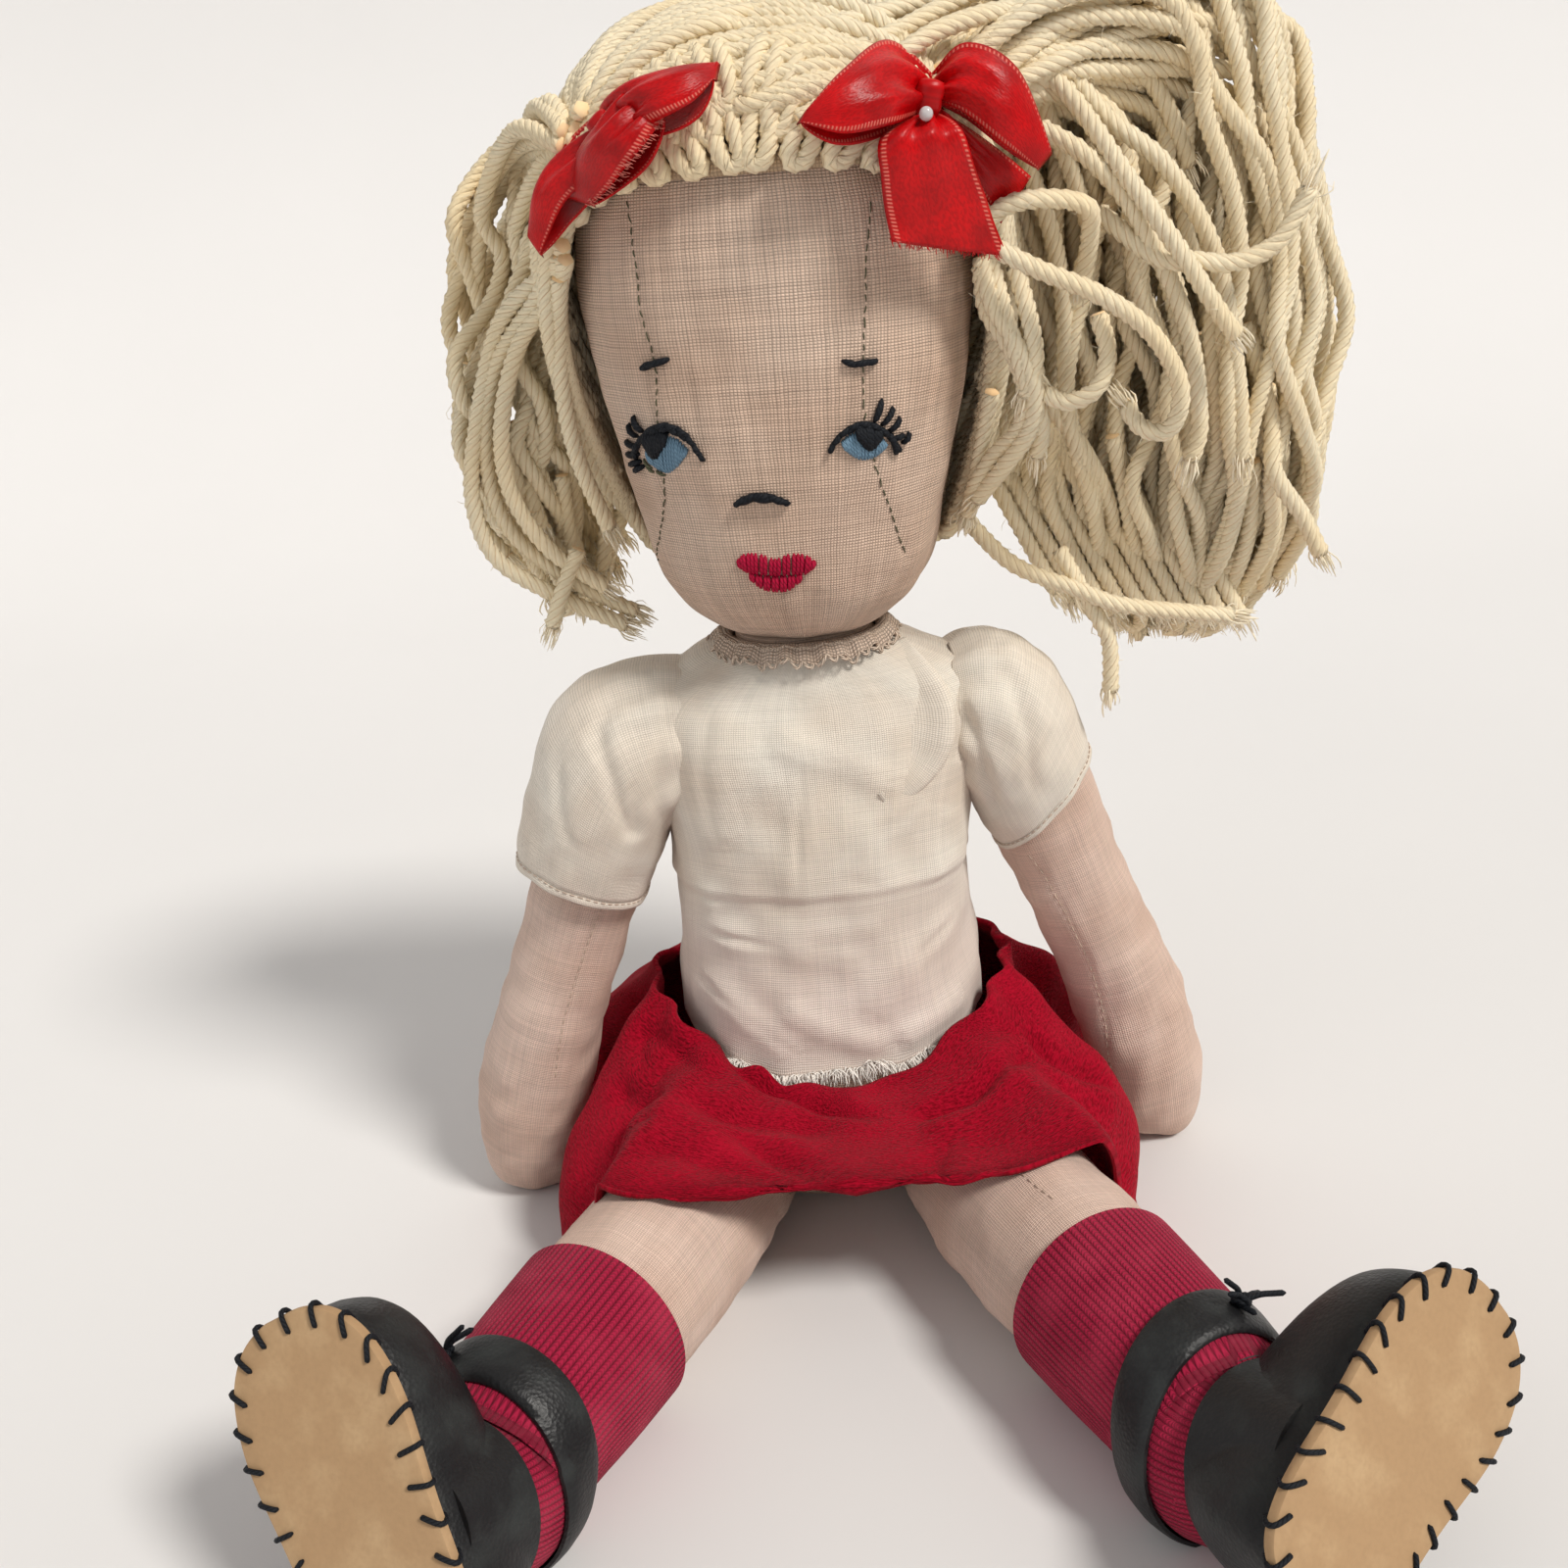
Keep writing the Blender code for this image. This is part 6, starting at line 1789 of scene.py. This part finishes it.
def make_leg(side):
    body = SIDES[side] + "_leg"
    grid = leg_grid(side, 0, 8, 96)
    uneven = lumps(grid, (0.0003, 0.018, 51 + side), (0.00015, 0.007, 53 + side))
    item = surface(body + "_muslin", above(pushed(grid, uneven)))
    show(item, LIMB, "muslin", body, body, padded=0.9)
    sewn_line(body + "_seam", item, LEG_SEAM_PIXELS[side], body)


def make_sock(side):
    name = SIDES[side]
    sock = leg_form(name + "_knitted_sock", side, SOCK_OUTER)
    cut_past(sock, hip_point(side) + leg_way(side) * SOCK_REACH, -leg_way(side))
    cut_past(sock, Vector(), -Z)
    wrap_uv(sock, leg_path(side, 0, 8), Z)
    show(crisp(sock, 50), KNIT, "crimson_knit", name + "_leg", name + "_sock", padded=0.9)


def make_upper(side):
    name = SIDES[side]
    toe, outward, sole = foot_axes(side)
    origin = foot_origin(side)
    upper = leg_form(name + "_shoe_leather", side, UPPER_OUTER)
    combine(upper, leg_form("cutter", side, UPPER_INNER))
    cut_past(upper, origin + sole * (UPPER_INNER - GAP), sole)
    slope = (toe * THROAT_ALONG - sole * (THROAT_TOP - HEEL_TOP)).normalized()
    cut_past(upper, origin - sole * HEEL_TOP, (-sole - slope * (-sole).dot(slope)).normalized())
    throat = origin + toe * THROAT_ALONG - sole * THROAT_DEPTH
    ends = (throat, throat - sole * 0.1)
    rings = [ring(end, toe, outward, THROAT_RADIUS, THROAT_RADIUS, 48, 2) for end in ends]
    combine(upper, face_out(surface("cutter", rings)))
    cut_past(upper, Vector(), -Z)
    show(crisp(upper, 40), LEATHER, "black_leather", name + "_leg", name + "_shoe_upper")


def strap_rows(side, middle, up, across, front):
    """The strap's section, inside and outside, in rows round the ankle."""
    tree = tree_of(leg_form("ankle", side, UPPER_INNER), keep=False)
    inside, outside = [], []
    for row in np.linspace(-0.5, 0.5, 9):
        centre = middle + up * STRAP_WIDTH * row
        inner = []
        for turn in np.linspace(0, 2 * math.pi, 96, endpoint=False):
            way = across * math.cos(turn) + front * math.sin(turn)
            inner.append(tree.ray_cast(centre, way)[0] + way * 0.0002)
        thick = 0.0010 - 0.0004 * abs(row * 2) ** 6
        inside.append([tuple(p) for p in inner])
        outside.append([tuple(p + (p - centre).normalized() * thick) for p in inner])
    return inside + outside[::-1] + inside[:1]


def tied_paths(seat, normal, up):
    """The tie's thread: three loops of a knot, four ends and a turn round the strap."""
    along = up.cross(normal).normalized()
    knot = seat + normal * 0.0009
    paths = []
    for k in range(3):
        loop = []
        for t in np.linspace(0, 2 * math.pi, 13):
            way = along * math.cos(t) * 0.0014 + (up if k % 2 else up + along * 0.5) * math.sin(t) * 0.0011
            loop.append(knot + way + normal * (0.0004 * k + 0.0004 * math.sin(t * 2)))
        paths.append(loop)
    for way, lift, length in (
        (along, 0.5, 0.0085), (-along, 0.7, 0.0075),
        (along + up * 0.5, 0.35, 0.0065), (-along - up * 0.3, 0.4, 0.0060),
    ):
        end = (way + normal * lift).normalized() * length
        rise = normal * 0.0006
        paths.append([knot, knot + end * 0.35 + rise, knot + end * 0.7, knot + end - rise])
    paths.append([seat + up * share * 0.0025 + normal * 0.0003 for share in (-1.6, -0.5, 0.5, 1.6)])
    return paths


def weld_above_floor(mesh):
    bmesh.ops.remove_doubles(mesh, verts=mesh.verts, dist=0.00001)
    for vertex in mesh.verts:
        vertex.co.z = max(vertex.co.z, 0)


def make_strap(side):
    """A bar round the ankle, laid on the sock, with its tied thread."""
    name = SIDES[side]
    up = ankle_way(side)
    across = up.cross(foot_axes(side)[0]).normalized()
    middle = ankle_point(side) + up * STRAP_RISE
    rows = strap_rows(side, middle, up, across, across.cross(up))
    item = face_out(face_out(surface(name + "_ankle_strap", rows, caps=False)), weld_above_floor)
    item.data.set_sharp_from_angle(angle=math.radians(50))
    show(item, LEATHER, "black_leather", name + "_leg", name + "_shoe_strap")
    out = Vector((side * math.sin(TIE_LEAN), 0, math.cos(TIE_LEAN)))
    out = (out - up * out.dot(up)).normalized()
    seat, normal, _, _ = tree_of(item).ray_cast(middle + out * 0.1, -out)
    item = tubes(name + "_tied_thread", tied_paths(seat, normal, up), 0.0005, 8, 0.0006)
    show(item, BLACK, "black_thread", name + "_leg", name + "_shoe_tie")

# depth and inset of the sole's edge, which is softened at both faces
SOLE_EDGE = ((0, 0.0002), (0.0002, 0), (0.0015, 0), (0.0019, 0.0002), (SOLE_LEATHER, 0.0007))


def make_sole(side):
    """A leather sole with a softened edge, whipped to the upper with black thread."""
    name = SIDES[side]
    toe, outward, sole = foot_axes(side)
    origin = foot_origin(side)
    rows = []
    for depth, inset in SOLE_EDGE:
        base = origin + sole * (UPPER_INNER + depth)
        outline = sole_outline(9, UPPER_OUTER + SOLE_MARGIN - inset)
        rows.append(np.array([tuple(base + toe * a + outward * b) for a, b in outline]))
    middle = rows[-1].mean(0)
    rows += [middle + (rows[-1] - middle) * share for share in (0.8, 0.5, 0.2)]
    item = face_out(surface(name + "_leather_sole", rows))
    item.data.set_sharp_from_angle(angle=math.radians(45))
    show(item, SOLE, "tan_leather", name + "_leg", name + "_shoe_sole")
    outline, _ = spline([(a, b, 0) for a, b in sole_outline(6) + sole_outline(6)[:1]], 0.0054)
    low = UPPER_INNER + SOLE_LEATHER
    rng = np.random.default_rng(77 + side)
    paths = []
    for a, b, _ in outline[:-1]:
        away, aside = unit(np.array((a - FOOT_LENGTH * 0.5, b)))
        lean = rng.uniform(-0.0006, 0.0006)
        edge = origin + toe * (a + away * 0.0001) + outward * (b + aside * 0.0001)
        inner = origin + toe * (a - away * 0.0030 - aside * lean)
        inner += outward * (b - aside * 0.0030 + away * lean)
        out = (toe * away + outward * aside).normalized()
        paths.append([
            inner + sole * (low - 0.0002), inner + sole * (low + 0.0003) + out * 0.0006,
            edge + sole * (low + 0.0001), edge + sole * (UPPER_INNER + 0.0008) + out * 0.0004,
            edge + sole * (UPPER_INNER - 0.0004) - out * 0.0006,
            edge + sole * (UPPER_INNER - 0.0016) - out * 0.0016,
        ])
    show(tubes(name + "_sole_stitches", paths, 0.00042, 8, 0.0006), BLACK, "black_thread", name + "_leg")

# Stage: a pale floor that bends up far behind, a soft sun and a weak one
BACK_DISTANCE = 0.45
BACK_BEND = 0.60
SUNS = (
    ("key", (0.55, -0.45, 0.80), 2.5, 14, (1.0, 0.965, 0.91)),
    ("fill", (-0.70, -0.60, 0.45), 0.35, 60, (0.98, 0.98, 1.0)),
)


def make_stage():
    rows = [(-3.0, 0.0), (0.0, 0.0)]
    for angle in np.linspace(0, math.pi / 2, 24):
        rows.append((BACK_DISTANCE + BACK_BEND * math.sin(angle), BACK_BEND * (1 - math.cos(angle))))
    rows.append((BACK_DISTANCE + BACK_BEND, 3.0))
    floor = surface("floor", [[(x, y, z) for x in (-5, 5)] for y, z in rows], around=False)
    material, tree, shader = start("pale_floor", Roughness=0.95, Specular_IOR_Level=0.1)
    tone = noisy(tree, node(tree, "TexCoord", out=3), 6.0)
    wire(tree, shader, tint(tree, tone, (0.745, 0.735, 0.73), (0.775, 0.765, 0.76)))
    floor.data.materials.append(material)
    floor.location.z = -0.0002
    world = bpy.data.worlds.new("world")
    bpy.context.scene.world = world
    world.use_nodes = True
    tree = world.node_tree
    background = tree.nodes["Background"]
    direct = tree.nodes.new("ShaderNodeLightPath").outputs["Is Camera Ray"]
    tree.links.new(calc(tree, "MULTIPLY_ADD", direct, 0.45, 0.36), background.inputs["Strength"])
    background.inputs["Color"].default_value = (1.0, 0.985, 0.965, 1)
    for name, place, energy, angle, colour in SUNS:
        light = bpy.data.lights.new(name, "SUN")
        light.energy = energy
        light.angle = math.radians(angle)
        light.color = colour
        item = linked(name, light)
        item.location = place
        item.rotation_euler = (-Vector(place)).to_track_quat("-Z", "Y").to_euler()
    bpy.context.scene.view_settings.view_transform = "Standard"


make_face(make_head())
make_hair_cap()
make_bunch(LEFT, 110)
make_bunch(RIGHT, 34)
make_torso()
make_bodice(make_trim())
make_skirt()
for each in (LEFT, RIGHT):
    make_bow(each)
    make_arm(each)
    make_sleeve(each)
    make_leg(each)
    make_sock(each)
    make_upper(each)
    make_strap(each)
    make_sole(each)
make_stage()
